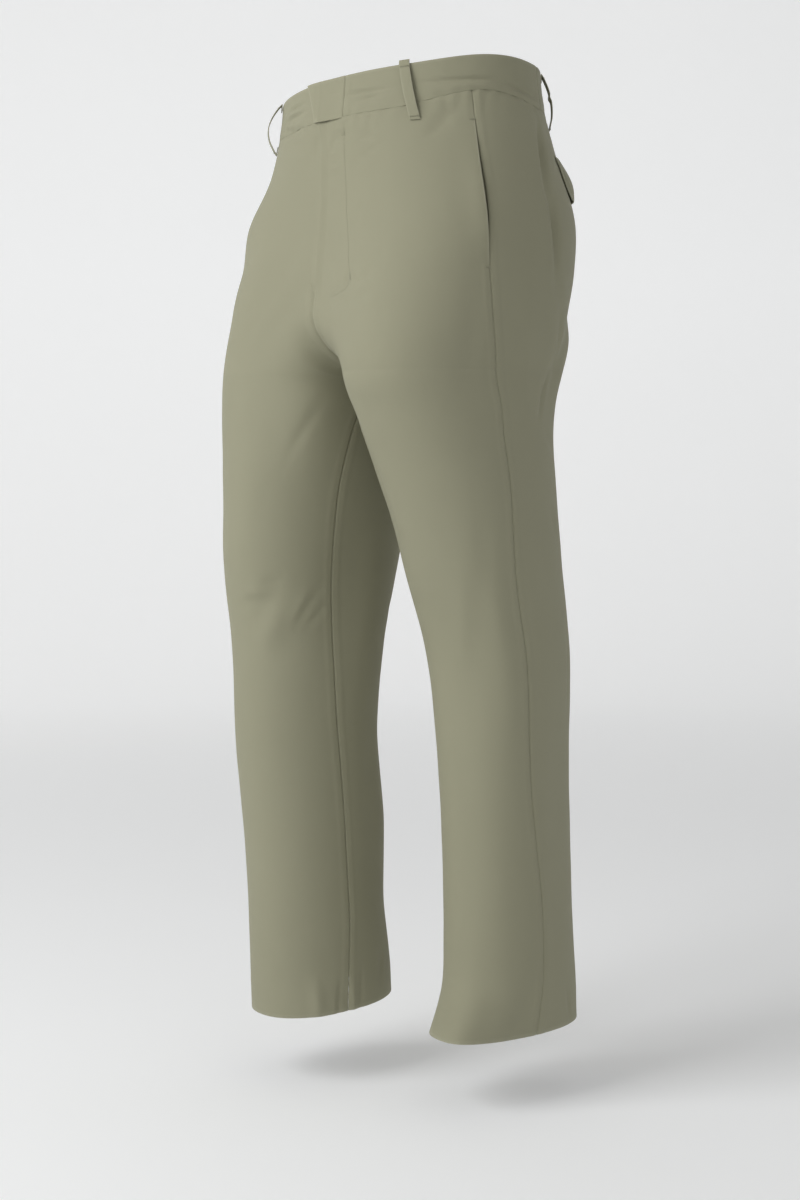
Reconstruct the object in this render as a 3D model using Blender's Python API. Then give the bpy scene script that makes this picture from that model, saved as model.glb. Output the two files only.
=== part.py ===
"""Worn tech pants, as a hollow shell of cut and sewn pieces.

Lengths are in metres and angles in degrees. +X is the wearer's left, -Y the front and +Z up, and the
origin is the centre of the waist opening. A drop is a distance below the waistband's top edge. An angle
goes round one half of the garment: 0 is the outside of the leg, -90 its front, 90 its back and 180 the
inside. Both halves are worked out alike with x above zero, and pose() then sets each one as it is worn.
"""

import math

import bmesh
import bpy
import numpy as np

LEFT, RIGHT = 1, -1
SIDE_NAMES = {LEFT: "left", RIGHT: "right"}

CLOTH_COLOUR = (0.27, 0.265, 0.195, 1)
CLOTH_ROUGHNESS = 0.8
CLOTH = 0.0015  # a panel's wall
BAND_CLOTH = 0.0024  # the waistband, two plies with a stiffener between
LOOP_CLOTH = 0.0016
SEAM_GAP = 0.0003
REST_GAP = 0.0007  # what lies on a panel clears its flat facets by this
BAND_DEPTH = 0.042
BAND_PROUD = 0.0006  # how far the waistband's face stands out of the panels' faces
CROTCH = 0.305
HEM = 1.008
SADDLE = 0.017  # radius of the bend between the two halves under the crotch

# The body line: each row is the level section of one half. Outer and inner are its reach in x, front and
# back its reach from the middle in y, and square is the power of its superellipse (2 is an ellipse).
SECTION_COLUMNS = ("drop", "outer", "inner", "middle", "front", "back", "square")
SECTION_ROWS = (
    (0.000, 0.167, -0.165, 0.000, 0.118, 0.115, 2.0),
    (0.050, 0.173, -0.165, 0.001, 0.124, 0.122, 2.0),
    (0.100, 0.183, -0.160, 0.001, 0.129, 0.133, 2.2),
    (0.150, 0.193, -0.145, -0.003, 0.131, 0.145, 2.4),
    (0.200, 0.198, -0.107, -0.012, 0.133, 0.140, 2.5),
    (0.240, 0.200, -0.049, -0.018, 0.133, 0.131, 2.4),
    (0.270, 0.200, -0.007, -0.022, 0.131, 0.126, 2.4),
    (0.305, 0.198, 0.017, -0.027, 0.126, 0.115, 2.4),
    (0.335, 0.196, 0.0190, -0.030, 0.122, 0.107, 2.4),
    (0.400, 0.191, 0.0240, -0.031, 0.112, 0.102, 2.35),
    (0.450, 0.186, 0.0300, -0.028, 0.106, 0.098, 2.35),
    (0.500, 0.181, 0.0345, -0.024, 0.101, 0.095, 2.35),
    (0.600, 0.170, 0.038, -0.010, 0.092, 0.090, 2.3),
    (0.700, 0.164, 0.042, -0.007, 0.086, 0.086, 2.3),
    (0.800, 0.160, 0.042, -0.002, 0.084, 0.084, 2.25),
    (0.900, 0.159, 0.041, 0.002, 0.084, 0.083, 2.2),
    (0.970, 0.160, 0.040, 0.004, 0.085, 0.084, 2.2),
    (1.020, 0.162, 0.038, 0.005, 0.092, 0.085, 2.2),
)

# Where the seams run: both legs are turned a little in their cloth, so the left leg's side seam and the
# right leg's inseam swing forward at the thigh.
SEAM_COLUMNS = ("drop", "side_seam", "inseam")
SEAM_ROWS = {
    LEFT: (
        (0.000, -23.0, -180),
        (0.060, -22.0, -180),
        (0.130, -17.5, -180),
        (0.200, -13.5, -180),
        (0.260, -10.0, -180),
        (0.290, -7.5, -180),
        (0.335, -5.3, -179),
        (0.385, -9.5, -180),
        (0.436, -16.0, -184),
        (0.487, -24.0, -190),
        (0.540, -30.0, -195),
        (0.600, -31.0, -196),
        (0.700, -28.5, -195),
        (0.755, -26.0, -193),
        (0.808, -21.0, -190),
        (0.863, -15.0, -186),
        (0.917, -12.0, -184),
        (1.020, -12.0, -184),
    ),
    RIGHT: (
        (0.000, -23.0, -180),
        (0.060, -22.0, -180),
        (0.130, -17.5, -180),
        (0.200, -13.5, -180),
        (0.260, -10.0, -180),
        (0.290, -7.5, -180),
        (0.335, -5.0, -171.5),
        (0.365, -4.0, -168.3),
        (0.415, -3.0, -166.2),
        (0.500, -4.0, -168.8),
        (0.600, -5.0, -170),
        (0.660, -7.0, -173.5),
        (0.715, -9.0, -177),
        (0.775, -11.0, -179),
        (0.850, -12.0, -180),
        (0.915, -12.0, -180),
        (0.970, -12.0, -178),
        (1.020, -12.0, -176),
    ),
}

# The stance: how far each leg hangs behind the middle, how far its toes turn out, and how much deeper
# than the even section its front and its back are.
POSE_COLUMNS = ("drop", "behind", "turn", "front_more", "back_more")
POSE_ROWS = {
    LEFT: (
        (0.305, 0.000, 0, 0.00, 0.00),
        (0.350, 0.005, 3, -0.07, -0.01),
        (0.420, 0.020, 10, -0.13, -0.03),
        (0.500, 0.036, 15, -0.155, -0.05),
        (0.600, 0.050, 18, -0.13, -0.05),
        (0.750, 0.057, 18, -0.06, -0.03),
        (0.900, 0.059, 14, -0.02, -0.02),
        (0.965, 0.060, 10, 0.05, -0.02),
        (1.010, 0.060, 8, 0.25, -0.02),
    ),
    RIGHT: (
        (0.305, 0.000, 0, 0.00, 0.00),
        (0.420, -0.010, 1, 0.055, 0.03),
        (0.500, -0.024, 2, 0.08, 0.04),
        (0.600, -0.042, 3, 0.07, -0.16),
        (0.680, -0.048, 4, 0.05, -0.18),
        (0.800, -0.052, 4, 0.00, -0.07),
        (0.900, -0.053, 4, -0.02, -0.09),
        (0.965, -0.053, 3, -0.03, -0.02),
        (1.010, -0.053, 3, -0.11, -0.03),
    ),
}
WAIST_LEAN_SIDE = 0.066  # the waist stands higher on the wearer's left by this share of x
WAIST_LEAN_FRONT = 0.020  # and lower at the front by this share of y
HEM_LEAN = {LEFT: 0.0, RIGHT: 0.08}  # the right hem rides up at the back
HEM_RISE = {LEFT: 0.0, RIGHT: 0.004}

# The side pockets' mouths lie in the side seams, and the fly closes left over right.
POCKET_TOP = 0.058
POCKET_BOTTOM = 0.206
POCKET_GAPE = 0.0042
FACING_AHEAD = 0.024
FACING_BEHIND = 0.010
FLY_BOTTOM = 0.222
FLY_STEP = 0.0014
SHIELD_WIDTH = 0.034
BEHIND_GAP = 0.0011  # a facing or shield hangs this far inside its panel

TAB_OVERLAP_TOP = 0.019  # how far the tab's slanted end passes the centre front
TAB_OVERLAP_FOOT = 0.001
TAB_SEAM = 0.037
BAND_JOIN = 23  # angle of the waistband's joins, behind the side seams

# The waistband sits higher over the side pockets: how far, and between which angles.
SEAM_RISE = {LEFT: (0.0115, -58, 24), RIGHT: (0.0050, -54, 26)}
EDGE_RISE = {LEFT: (0.0038, -52, 26), RIGHT: (0.0012, -48, 20)}

LOOP_WIDTH = 0.011
LOOP_FOOT = 0.057
LOOP_COLUMNS = ("name", "side", "angle_top", "angle_foot", "bow", "top")
LOOP_ROWS = (
    ("belt_loop_front_left", LEFT, -50.5, -46.5, 0.0028, -0.003),
    ("belt_loop_front_right", RIGHT, -48, -48, 0.0125, -0.001),
    ("belt_loop_side_left", LEFT, 43, 45, 0.0085, -0.001),
    ("belt_loop_side_right", RIGHT, 43, 45, 0.0060, -0.001),
    ("belt_loop_back", LEFT, 90, 90, 0.0028, -0.001),
)

FLAP_TOP = 0.084
FLAP_DEPTH = 0.044
FLAP_INNER = 0.046  # from the centre back to the flap's near end
FLAP_OUTER = 0.176
FLAP_STAND = 0.0084
FLAP_CLOTH = 0.0018

# The drape: each row is a soft ridge (height above 0) or trough (below 0) from one place to another on a
# half's skin, highest in its middle.
FOLD_COLUMNS = ("side", "drop_from", "angle_from", "drop_to", "angle_to", "width", "height")
FOLD_ROWS = (
    # the wearer's left, seen from outside and in front
    (LEFT, 0.195, 62, 0.375, 22, 0.016, -0.0045),
    (LEFT, 0.215, 74, 0.400, 36, 0.022, 0.0034),
    (LEFT, 0.420, -58, 0.720, -46, 0.030, 0.0035),
    (LEFT, 0.330, -96, 0.600, -84, 0.034, 0.0030),
    (LEFT, 0.020, -84, 0.260, -104, 0.050, -0.0110),
    (LEFT, 0.130, -90, 0.320, -116, 0.045, -0.0140),
    (LEFT, 0.500, 60, 0.640, 72, 0.012, -0.0025),
    (LEFT, 0.620, 10, 0.960, 2, 0.030, -0.0022),
    (LEFT, 0.700, 96, 0.980, 84, 0.026, 0.0030),
    (LEFT, 0.950, -62, 1.030, -88, 0.038, 0.0085),
    (LEFT, 0.930, -20, 1.030, -32, 0.020, -0.0026),
    (LEFT, 0.060, 36, 0.120, 34, 0.012, -0.0012),
    # the wearer's right
    (RIGHT, 0.085, -34, 0.195, -48, 0.045, 0.0090),
    (RIGHT, 0.330, -104, 0.560, -92, 0.034, 0.0030),
    (RIGHT, 0.020, -84, 0.260, -104, 0.050, -0.0110),
    (RIGHT, 0.130, -90, 0.320, -116, 0.045, -0.0140),
    (LEFT, 0.240, -118, 0.540, -142, 0.034, -0.0125),
    (RIGHT, 0.200, -126, 0.455, -158, 0.040, 0.0090),
    (RIGHT, 0.210, -46, 0.335, -52, 0.045, -0.0040),
    (RIGHT, 0.520, -140, 0.580, -100, 0.014, -0.0022),
    (RIGHT, 0.545, -146, 0.610, -104, 0.016, 0.0026),
    (RIGHT, 0.400, 176, 0.660, 190, 0.028, -0.0035),
    (RIGHT, 0.600, -60, 0.930, -56, 0.034, 0.0016),
    (RIGHT, 0.960, -172, 1.030, -176, 0.010, -0.0024),
    (RIGHT, 0.955, -150, 1.030, -152, 0.012, 0.0026),
    (RIGHT, 0.200, 66, 0.370, 26, 0.018, -0.0040),
    (RIGHT, 0.225, 78, 0.390, 40, 0.022, 0.0040),
    # the backs of both legs
    (LEFT, 0.330, 128, 0.470, 92, 0.020, -0.0035),
    (RIGHT, 0.325, 132, 0.480, 98, 0.022, -0.0038),
    (LEFT, 0.560, 118, 0.620, 70, 0.014, -0.0030),
    (RIGHT, 0.575, 124, 0.640, 76, 0.015, -0.0034),
    (RIGHT, 0.690, 98, 0.990, 90, 0.028, 0.0040),
    (RIGHT, 0.620, 150, 0.940, 156, 0.026, -0.0026),
)


def table(columns, rows):
    return {name: np.array(values, float) for name, values in zip(columns, zip(*rows))}


SECTIONS = table(SECTION_COLUMNS, SECTION_ROWS)
SEAMS = {side: table(SEAM_COLUMNS, rows) for side, rows in SEAM_ROWS.items()}
POSES = {side: table(POSE_COLUMNS, rows) for side, rows in POSE_ROWS.items()}
LOOPS = [dict(zip(LOOP_COLUMNS, row)) for row in LOOP_ROWS]
FOLDS = [dict(zip(FOLD_COLUMNS, row)) for row in FOLD_ROWS]


def read(values, column, drop):
    """A column of a table at any drop, on a smooth curve through its rows."""
    knots = values["drop"]
    heights = values[column]
    slopes = np.gradient(heights, knots)
    slopes[0] = 0
    drop = np.clip(drop, knots[0], knots[-1])
    row = np.clip(np.searchsorted(knots, drop, side="right") - 1, 0, len(knots) - 2)
    step = knots[row + 1] - knots[row]
    t = (drop - knots[row]) / step
    start = (1 + 2 * t) * (1 - t) ** 2 * heights[row] + t * (1 - t) ** 2 * step * slopes[row]
    end = t**2 * (3 - 2 * t) * heights[row + 1] + t**2 * (t - 1) * step * slopes[row + 1]
    return start + end


def ease(t):
    """0 before 0, 1 after 1 and a smooth step between."""
    t = np.clip(t, 0, 1)
    return t * t * (3 - 2 * t)


def bump(at, start, end):
    """A smooth hill from start to end, 1 high in its middle."""
    return np.sin(np.pi * np.clip((at - start) / (end - start), 0, 1)) ** 2


def risen(rise, side, angle):
    height, start, end = rise[side]
    return height * bump(angle, start, end)


def hip_drop(side, angle, drop):
    """A panel's level follows the waist seam's rise and is even again 6 cm lower down."""
    return drop - risen(SEAM_RISE, side, angle) * (1 - ease((drop - BAND_DEPTH) / 0.060))


def band_drop(side, angle, drop):
    """A level of the waistband, between its top edge's rise and its seam's."""
    down = drop / BAND_DEPTH
    return drop - risen(SEAM_RISE, side, angle) * down - risen(EDGE_RISE, side, angle) * (1 - down)


def sizes(drop):
    outer, inner = read(SECTIONS, "outer", drop), read(SECTIONS, "inner", drop)
    return (outer + inner) / 2, (outer - inner) / 2, read(SECTIONS, "middle", drop)


def level_point(drop, angle):
    """x and y of the section at an angle. Where the two halves are one, x stops at 0."""
    centre, width, middle = sizes(drop)
    power = 2 / read(SECTIONS, "square", drop)
    cosine, sine = np.cos(np.radians(angle)), np.sin(np.radians(angle))
    reach = np.where(sine > 0, read(SECTIONS, "back", drop), read(SECTIONS, "front", drop))
    sharp = centre + width * np.sign(cosine) * np.abs(cosine) ** power
    x = np.sqrt(np.maximum(0, np.maximum(sharp, 0) ** 2 - SADDLE**2))
    return x, middle + reach * np.sign(sine) * np.abs(sine) ** power


def fullness(x, y, drop):
    """Above 1 outside the garment and below 1 inside it."""
    centre, width, middle = sizes(drop)
    power = read(SECTIONS, "square", drop)
    sharp = np.sqrt(x**2 + SADDLE**2)
    reach = np.where(y > middle, read(SECTIONS, "back", drop), read(SECTIONS, "front", drop))
    return (np.abs(sharp - centre) / width) ** power + (np.abs(y - middle) / reach) ** power


def outward(x, y, drop):
    """The direction out of the cloth, from the slopes of fullness."""
    step = 0.0005
    slope = np.stack(
        (
            fullness(x + step, y, drop) - fullness(x - step, y, drop),
            fullness(x, y + step, drop) - fullness(x, y - step, drop),
            fullness(x, y, drop - step) - fullness(x, y, drop + step),
        ),
        -1,
    )
    return slope / np.linalg.norm(slope, axis=-1, keepdims=True)


def pose(side, points):
    """Sets points of one half as it is worn: the leg's turn and place, the waist's and the hem's lean."""
    x, y, drop = points[..., 0], points[..., 1], -points[..., 2]
    posed = POSES[side]
    centre, _, middle = sizes(drop)
    depth = y - middle
    front_more, back_more = read(posed, "front_more", drop), read(posed, "back_more", drop)
    depth = depth * (1 + np.where(depth < 0, front_more, back_more))
    width = (x - centre) * (1 - (front_more + back_more) / 4)
    turn = np.radians(read(posed, "turn", drop))
    x = centre + width * np.cos(turn) - depth * np.sin(turn)
    y = middle + depth * np.cos(turn) + width * np.sin(turn) + read(posed, "behind", drop)
    above = np.clip(1 - drop / CROTCH, 0, None) ** 2
    low = ease((drop - 0.85) / (HEM - 0.85))
    z = -drop + above * (WAIST_LEAN_SIDE * side * x + WAIST_LEAN_FRONT * y)
    z = z + low * (HEM_LEAN[side] * depth + HEM_RISE[side])
    return np.stack((side * x, y, z), -1)


def fold_height(side, drop, angle):
    """How far the drape raises the skin at a place, all folds together."""
    total = np.zeros(np.broadcast(drop, angle).shape)
    girth = 0.11  # metres of skin for each radian, near enough for the folds' own widths
    for fold in FOLDS:
        if fold["side"] != side:
            continue
        down = drop - fold["drop_from"]
        round_by = girth * np.radians((angle - fold["angle_from"] + 180) % 360 - 180)
        run_down = fold["drop_to"] - fold["drop_from"]
        run_round = girth * math.radians(fold["angle_to"] - fold["angle_from"])
        along = (down * run_down + round_by * run_round) / (run_down**2 + run_round**2)
        off = (down * run_round - round_by * run_down) / math.hypot(run_down, run_round)
        total = total + fold["height"] * bump(along, 0, 1) * np.exp(-((off / fold["width"]) ** 2))
    return total


def skin(side, drop, angle, lift):
    """Points raised off the draped skin, in the garment's own place.

    Towards the centre front and back each half takes half of the other's folds, so they meet evenly.
    """
    drop = drop + np.zeros(np.broadcast(drop, angle).shape)
    x, y = level_point(drop, angle)
    normal = outward(x, y, drop)
    own = fold_height(side, drop, angle)
    both = (own + fold_height(-side, drop, angle)) / 2
    from_middle = 0.13 * np.radians(inner_limit(drop) - np.abs(angle))
    apart = ease(from_middle / 0.045 + np.maximum(0, drop - CROTCH) / 0.030)
    height = both + (own - both) * apart + lift
    points = np.stack((x, y, -drop), -1) + normal * np.expand_dims(height, -1)
    return pose(side, points)


def inner_limit(drop):
    """The angle at which a half meets the other half, or 180 where the legs are apart."""
    centre, width, _ = sizes(drop)
    power = read(SECTIONS, "square", drop) / 2
    share = (SADDLE - centre) / width
    cosine = np.sign(share) * np.minimum(1, np.abs(share)) ** power
    return np.degrees(np.arccos(cosine))


def spaced_angles(drop, start, end, count):
    """Angles at even distances along one level of the skin, half a seam's gap in from both ends."""
    eased = (1 - np.cos(np.linspace(0, np.pi, 500))) / 2
    angles = start + (end - start) * eased
    x, y = level_point(drop, angles)
    length = np.concatenate(([0], np.cumsum(np.hypot(np.diff(x), np.diff(y)))))
    stops = np.linspace(SEAM_GAP / 2, length[-1] - SEAM_GAP / 2, count)
    return np.interp(stops, length, angles)


def half_ring(drop):
    """Angles from the centre front to the centre back above the crotch, with the girth at each."""
    limit = inner_limit(drop)
    angles = np.linspace(-limit, limit, 721)
    x, y = level_point(drop, angles)
    return angles, np.concatenate(([0], np.cumsum(np.hypot(np.diff(x), np.diff(y)))))


def girth_of(drop, side, angle):
    """Distance round from the centre front to an angle, going by the wearer's left."""
    angles, girth = half_ring(drop)
    place = np.interp(angle, angles, girth)
    return place if side == LEFT else 2 * girth[-1] - place


def ring_points(drop, girths, lift, level=None):
    """Points at distances round from the centre front, above the crotch."""
    angles, girth = half_ring(drop)
    turn = 2 * girth[-1]
    lift = lift + np.zeros(len(girths))
    points = []
    for place, height in zip(np.mod(girths, turn), lift):
        side, along = (LEFT, place) if place <= girth[-1] else (RIGHT, turn - place)
        angle = np.interp(along, girth, angles)
        points.append(skin(side, level(side, angle, drop) if level else drop, angle, height))
    return np.array(points)


# ---- building ----


def clear_scene():
    for thing in list(bpy.data.objects):
        bpy.data.objects.remove(thing, do_unlink=True)


def twill(name):
    """The piece's own matt cloth, in the garment's grey green."""
    material = bpy.data.materials.new(f"{name}_twill")
    material.use_nodes = True
    shader = material.node_tree.nodes["Principled BSDF"]
    shader.inputs["Base Color"].default_value = CLOTH_COLOUR
    shader.inputs["Roughness"].default_value = CLOTH_ROUGHNESS
    shader.inputs["Metallic"].default_value = 0
    return material


def shell(name, outer, inner):
    """A closed wall between two grids of points, each a list of rows."""
    rows, columns = len(outer), len(outer[0])
    points = np.concatenate((np.reshape(outer, (-1, 3)), np.reshape(inner, (-1, 3))))
    back = rows * columns
    faces = []

    def face(corners):
        faces.append([row * columns + column + layer * back for row, column, layer in corners])

    for row in range(rows - 1):
        for column in range(columns - 1):
            square = ((row, column), (row + 1, column), (row + 1, column + 1), (row, column + 1))
            face([(r, c, 0) for r, c in square])
            face([(r, c, 1) for r, c in reversed(square)])
    for row in range(rows - 1):
        for column, step in ((0, 1), (columns - 1, -1)):
            edge = ((row, column, 0), (row, column, 1), (row + 1, column, 1), (row + 1, column, 0))
            face(edge[::step])
    for column in range(columns - 1):
        for row, step in ((0, -1), (rows - 1, 1)):
            edge = ((row, column, 0), (row, column, 1), (row, column + 1, 1), (row, column + 1, 0))
            face(edge[::step])
    mesh = bpy.data.meshes.new(name)
    mesh.from_pydata([tuple(point) for point in points], [], faces)
    mesh.materials.append(twill(name))
    work = bmesh.new()
    work.from_mesh(mesh)
    if work.calc_volume(signed=True) < 0:
        bmesh.ops.reverse_faces(work, faces=work.faces)
    work.to_mesh(mesh)
    work.free()
    thing = bpy.data.objects.new(name, mesh)
    bpy.context.scene.collection.objects.link(thing)
    return thing


PANEL_COLUMNS = 16


def panel_drops():
    """Levels from the waist seam to the hem, close together where the two halves part."""
    top = BAND_DEPTH + SEAM_GAP
    upper = top + (CROTCH - top) * np.sin(np.linspace(0, np.pi / 2, 17))
    parting = CROTCH + np.array((0.001, 0.004, 0.009, 0.017, 0.028))
    lower = np.linspace(CROTCH + 0.045, HEM, 27)
    return np.concatenate((upper, parting, lower))


def front_lift(side, drop, angles):
    """The front panels stand off at the pocket's mouth, and the left one at the fly."""
    seam = read(SEAMS[side], "side_seam", drop)
    from_seam = 0.15 * np.radians(seam - angles)
    gape = POCKET_GAPE * bump(drop, POCKET_TOP, POCKET_BOTTOM) * np.exp(-((from_seam / 0.016) ** 2))
    if side == RIGHT:
        return gape
    from_fly = 0.14 * np.radians(angles + inner_limit(drop))
    step = FLY_STEP * (1 - ease((drop - FLY_BOTTOM + 0.012) / 0.012)) * (1 - ease((from_fly - 0.004) / 0.012))
    return gape + step


def front_panel(side):
    outer, inner = [], []
    for drop in panel_drops():
        end = -inner_limit(drop) if drop < CROTCH else read(SEAMS[side], "inseam", drop)
        angles = spaced_angles(drop, read(SEAMS[side], "side_seam", drop), end, PANEL_COLUMNS)
        lift = front_lift(side, drop, angles)
        drops = hip_drop(side, angles, drop)
        outer.append(skin(side, drops, angles, lift))
        inner.append(skin(side, drops, angles, lift - CLOTH))
    return shell(f"front_{SIDE_NAMES[side]}", outer, inner)


def back_panel(side):
    outer, inner = [], []
    for drop in panel_drops():
        end = inner_limit(drop) if drop < CROTCH else 360 + read(SEAMS[side], "inseam", drop)
        angles = spaced_angles(drop, read(SEAMS[side], "side_seam", drop), end, PANEL_COLUMNS + 2)
        drops = hip_drop(side, angles, drop)
        outer.append(skin(side, drops, angles, 0))
        inner.append(skin(side, drops, angles, -CLOTH))
    return shell(f"back_{SIDE_NAMES[side]}", outer, inner)


def band_piece(name, ends, columns):
    """A length of waistband. ends gives its first and last girth at a drop."""
    outer, inner = [], []
    for drop in np.linspace(0, BAND_DEPTH, 4):
        start, stop = ends(drop)
        girths = np.linspace(start + SEAM_GAP / 2, stop - SEAM_GAP / 2, columns)
        outer.append(ring_points(drop, girths, BAND_PROUD, band_drop))
        inner.append(ring_points(drop, girths, BAND_PROUD - BAND_CLOTH, band_drop))
    return shell(name, outer, inner)


def whole_girth(drop):
    return 2 * half_ring(drop)[1][-1]


def waistband():
    under_tab = TAB_SEAM - 0.009
    band_piece("waistband_left", lambda drop: (TAB_SEAM, girth_of(drop, LEFT, BAND_JOIN)), 22)
    band_piece(
        "waistband_back",
        lambda drop: (girth_of(drop, LEFT, BAND_JOIN), girth_of(drop, RIGHT, BAND_JOIN)),
        34,
    )
    band_piece(
        "waistband_right",
        lambda drop: (girth_of(drop, RIGHT, BAND_JOIN), whole_girth(drop) + under_tab),
        28,
    )


def waistband_tab():
    """The overlapping end: it lies on the right length and slopes down to its seam with the left one."""
    outer, inner = [], []
    for drop in np.linspace(0, BAND_DEPTH, 5):
        overlap = TAB_OVERLAP_TOP + (TAB_OVERLAP_FOOT - TAB_OVERLAP_TOP) * drop / BAND_DEPTH
        girths = np.linspace(-overlap, TAB_SEAM - SEAM_GAP / 2, 12)
        raised = BAND_CLOTH + REST_GAP
        slope = 1 - ease((girths - (TAB_SEAM - 0.0085)) / 0.008)
        lift = BAND_PROUD + raised * slope
        outer.append(ring_points(drop, girths, lift, band_drop))
        inner.append(ring_points(drop, girths, lift - BAND_CLOTH, band_drop))
    return shell("waistband_tab", outer, inner)


def fly_shield():
    outer, inner = [], []
    face = -CLOTH - BEHIND_GAP
    for drop in np.linspace(BAND_DEPTH + 2 * SEAM_GAP, FLY_BOTTOM - 0.006, 12):
        girths = np.linspace(-0.012, SHIELD_WIDTH, 6)
        outer.append(ring_points(drop, girths, face))
        inner.append(ring_points(drop, girths, face - CLOTH))
    return shell("fly_shield", outer, inner)


def belt_loop(loop):
    outer, inner = [], []
    for share in np.linspace(0, 1, 11):
        drop = loop["top"] + (LOOP_FOOT - loop["top"]) * share
        rest = REST_GAP + BAND_PROUD * (1 - ease((drop - BAND_DEPTH - 0.002) / 0.006))
        lift = rest + loop["bow"] * math.sin(math.pi * share) ** 0.8
        angle = loop["angle_top"] + (loop["angle_foot"] - loop["angle_top"]) * share
        middle = girth_of(max(drop, 0), loop["side"], angle)
        girths = middle + np.linspace(-LOOP_WIDTH / 2, LOOP_WIDTH / 2, 4)
        outer.append(ring_points(drop, girths, lift + LOOP_CLOTH))
        inner.append(ring_points(drop, girths, lift))
    return shell(loop["name"], outer, inner)


def pocket_facing(side):
    """The strip behind a side pocket's mouth, which shows where the mouth gapes."""
    outer, inner = [], []
    face = -CLOTH - BEHIND_GAP
    for drop in np.linspace(POCKET_TOP - 0.012, POCKET_BOTTOM + 0.006, 12):
        seam = girth_of(drop, side, read(SEAMS[side], "side_seam", drop))
        girths = np.linspace(seam - side * FACING_AHEAD, seam + side * FACING_BEHIND, 6)
        outer.append(ring_points(drop, girths, face))
        inner.append(ring_points(drop, girths, face - CLOTH))
    return shell(f"pocket_facing_{SIDE_NAMES[side]}", outer, inner)


def pocket_flap(side):
    """A back pocket's flap, sewn along its top and standing off the panel in its middle."""
    outer, inner = [], []
    shares = np.linspace(0, 1, 15)
    for down in np.linspace(0, 1, 8):
        drop = FLAP_TOP + FLAP_DEPTH * down
        middle_back = whole_girth(drop) / 2
        girths = middle_back - side * (FLAP_INNER + (FLAP_OUTER - FLAP_INNER) * shares)
        stand = FLAP_STAND * math.sin(math.pi * 0.86 * down**1.2) * np.sin(np.pi * shares) ** 0.7
        outer.append(ring_points(drop, girths, REST_GAP + stand + FLAP_CLOTH))
        inner.append(ring_points(drop, girths, REST_GAP + stand))
    return shell(f"pocket_flap_{SIDE_NAMES[side]}", outer, inner)


def build():
    clear_scene()
    for side in (LEFT, RIGHT):
        front_panel(side)
        back_panel(side)
        pocket_facing(side)
        pocket_flap(side)
    waistband()
    waistband_tab()
    fly_shield()
    for loop in LOOPS:
        belt_loop(loop)


build()
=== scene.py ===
# %% [markdown]
# # Technical trousers, modelled as they are sewn
#
# Real trousers are a few flat cuts of cloth joined along seams, and what we see is those cuts standing
# off the body in long soft forms. So each cut becomes one sheet here: a flat grid that is laid on the
# garment's form, given the thickness of cloth and finished along its edges.
#
# Lengths are in metres and angles in degrees. +X is the wearer's left, -Y the front and +Z up. A drop is
# a distance below the waistband's top edge. An angle goes round one half of the garment: 0 is outside,
# -90 the front, 90 the back and 180 the inside of the leg.

# %% Load the frame
import math

import bpy
import numpy as np
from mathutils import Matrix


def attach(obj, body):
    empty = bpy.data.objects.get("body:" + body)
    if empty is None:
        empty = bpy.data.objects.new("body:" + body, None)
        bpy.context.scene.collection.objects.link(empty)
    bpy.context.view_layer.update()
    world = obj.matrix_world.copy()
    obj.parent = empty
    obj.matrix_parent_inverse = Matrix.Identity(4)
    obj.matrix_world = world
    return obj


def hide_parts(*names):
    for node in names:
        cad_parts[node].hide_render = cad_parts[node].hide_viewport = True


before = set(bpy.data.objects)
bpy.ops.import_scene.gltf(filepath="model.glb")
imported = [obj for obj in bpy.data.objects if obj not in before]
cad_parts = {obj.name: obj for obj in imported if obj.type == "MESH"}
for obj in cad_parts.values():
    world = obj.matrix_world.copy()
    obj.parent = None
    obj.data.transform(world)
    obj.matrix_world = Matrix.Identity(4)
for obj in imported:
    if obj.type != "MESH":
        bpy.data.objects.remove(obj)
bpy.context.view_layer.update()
bpy.ops.object.select_all(action="DESELECT")
print("solid pieces in the frame:", len(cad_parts))

# %% [markdown]
# ## The form under the cloth
#
# A tape measure round a garment at many heights gives its form, and a table does the same. Each row is a
# level section of one half, the seams' places are a second table and the stance a third. The tables are
# short and their columns are named, so a maker can widen a thigh or shorten a leg by one number. Lofting
# between drawn curves was the other way, but curves are harder to keep in step with each other.

# %% Sizes
LEFT, RIGHT = 1, -1
SIDE_NAMES = {LEFT: "left", RIGHT: "right"}
BAND_DEPTH = 0.042
BAND_PROUD = 0.0006
CROTCH = 0.305
HEM = 1.008
SADDLE = 0.017
POCKET_TOP = 0.058
POCKET_BOTTOM = 0.206
POCKET_GAPE = 0.0042
POCKET_SUNK = 0.0040
MOUTH_END = 0.007
FLY_BOTTOM = 0.222
FLY_END = 0.014
TAB_SEAM = 0.037
TAB_OVERLAP_TOP = 0.019
TAB_OVERLAP_FOOT = 0.001
BAND_JOIN = 23
print("outside leg:", HEM, "m, inside leg:", round(HEM - CROTCH, 3), "m")

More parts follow.
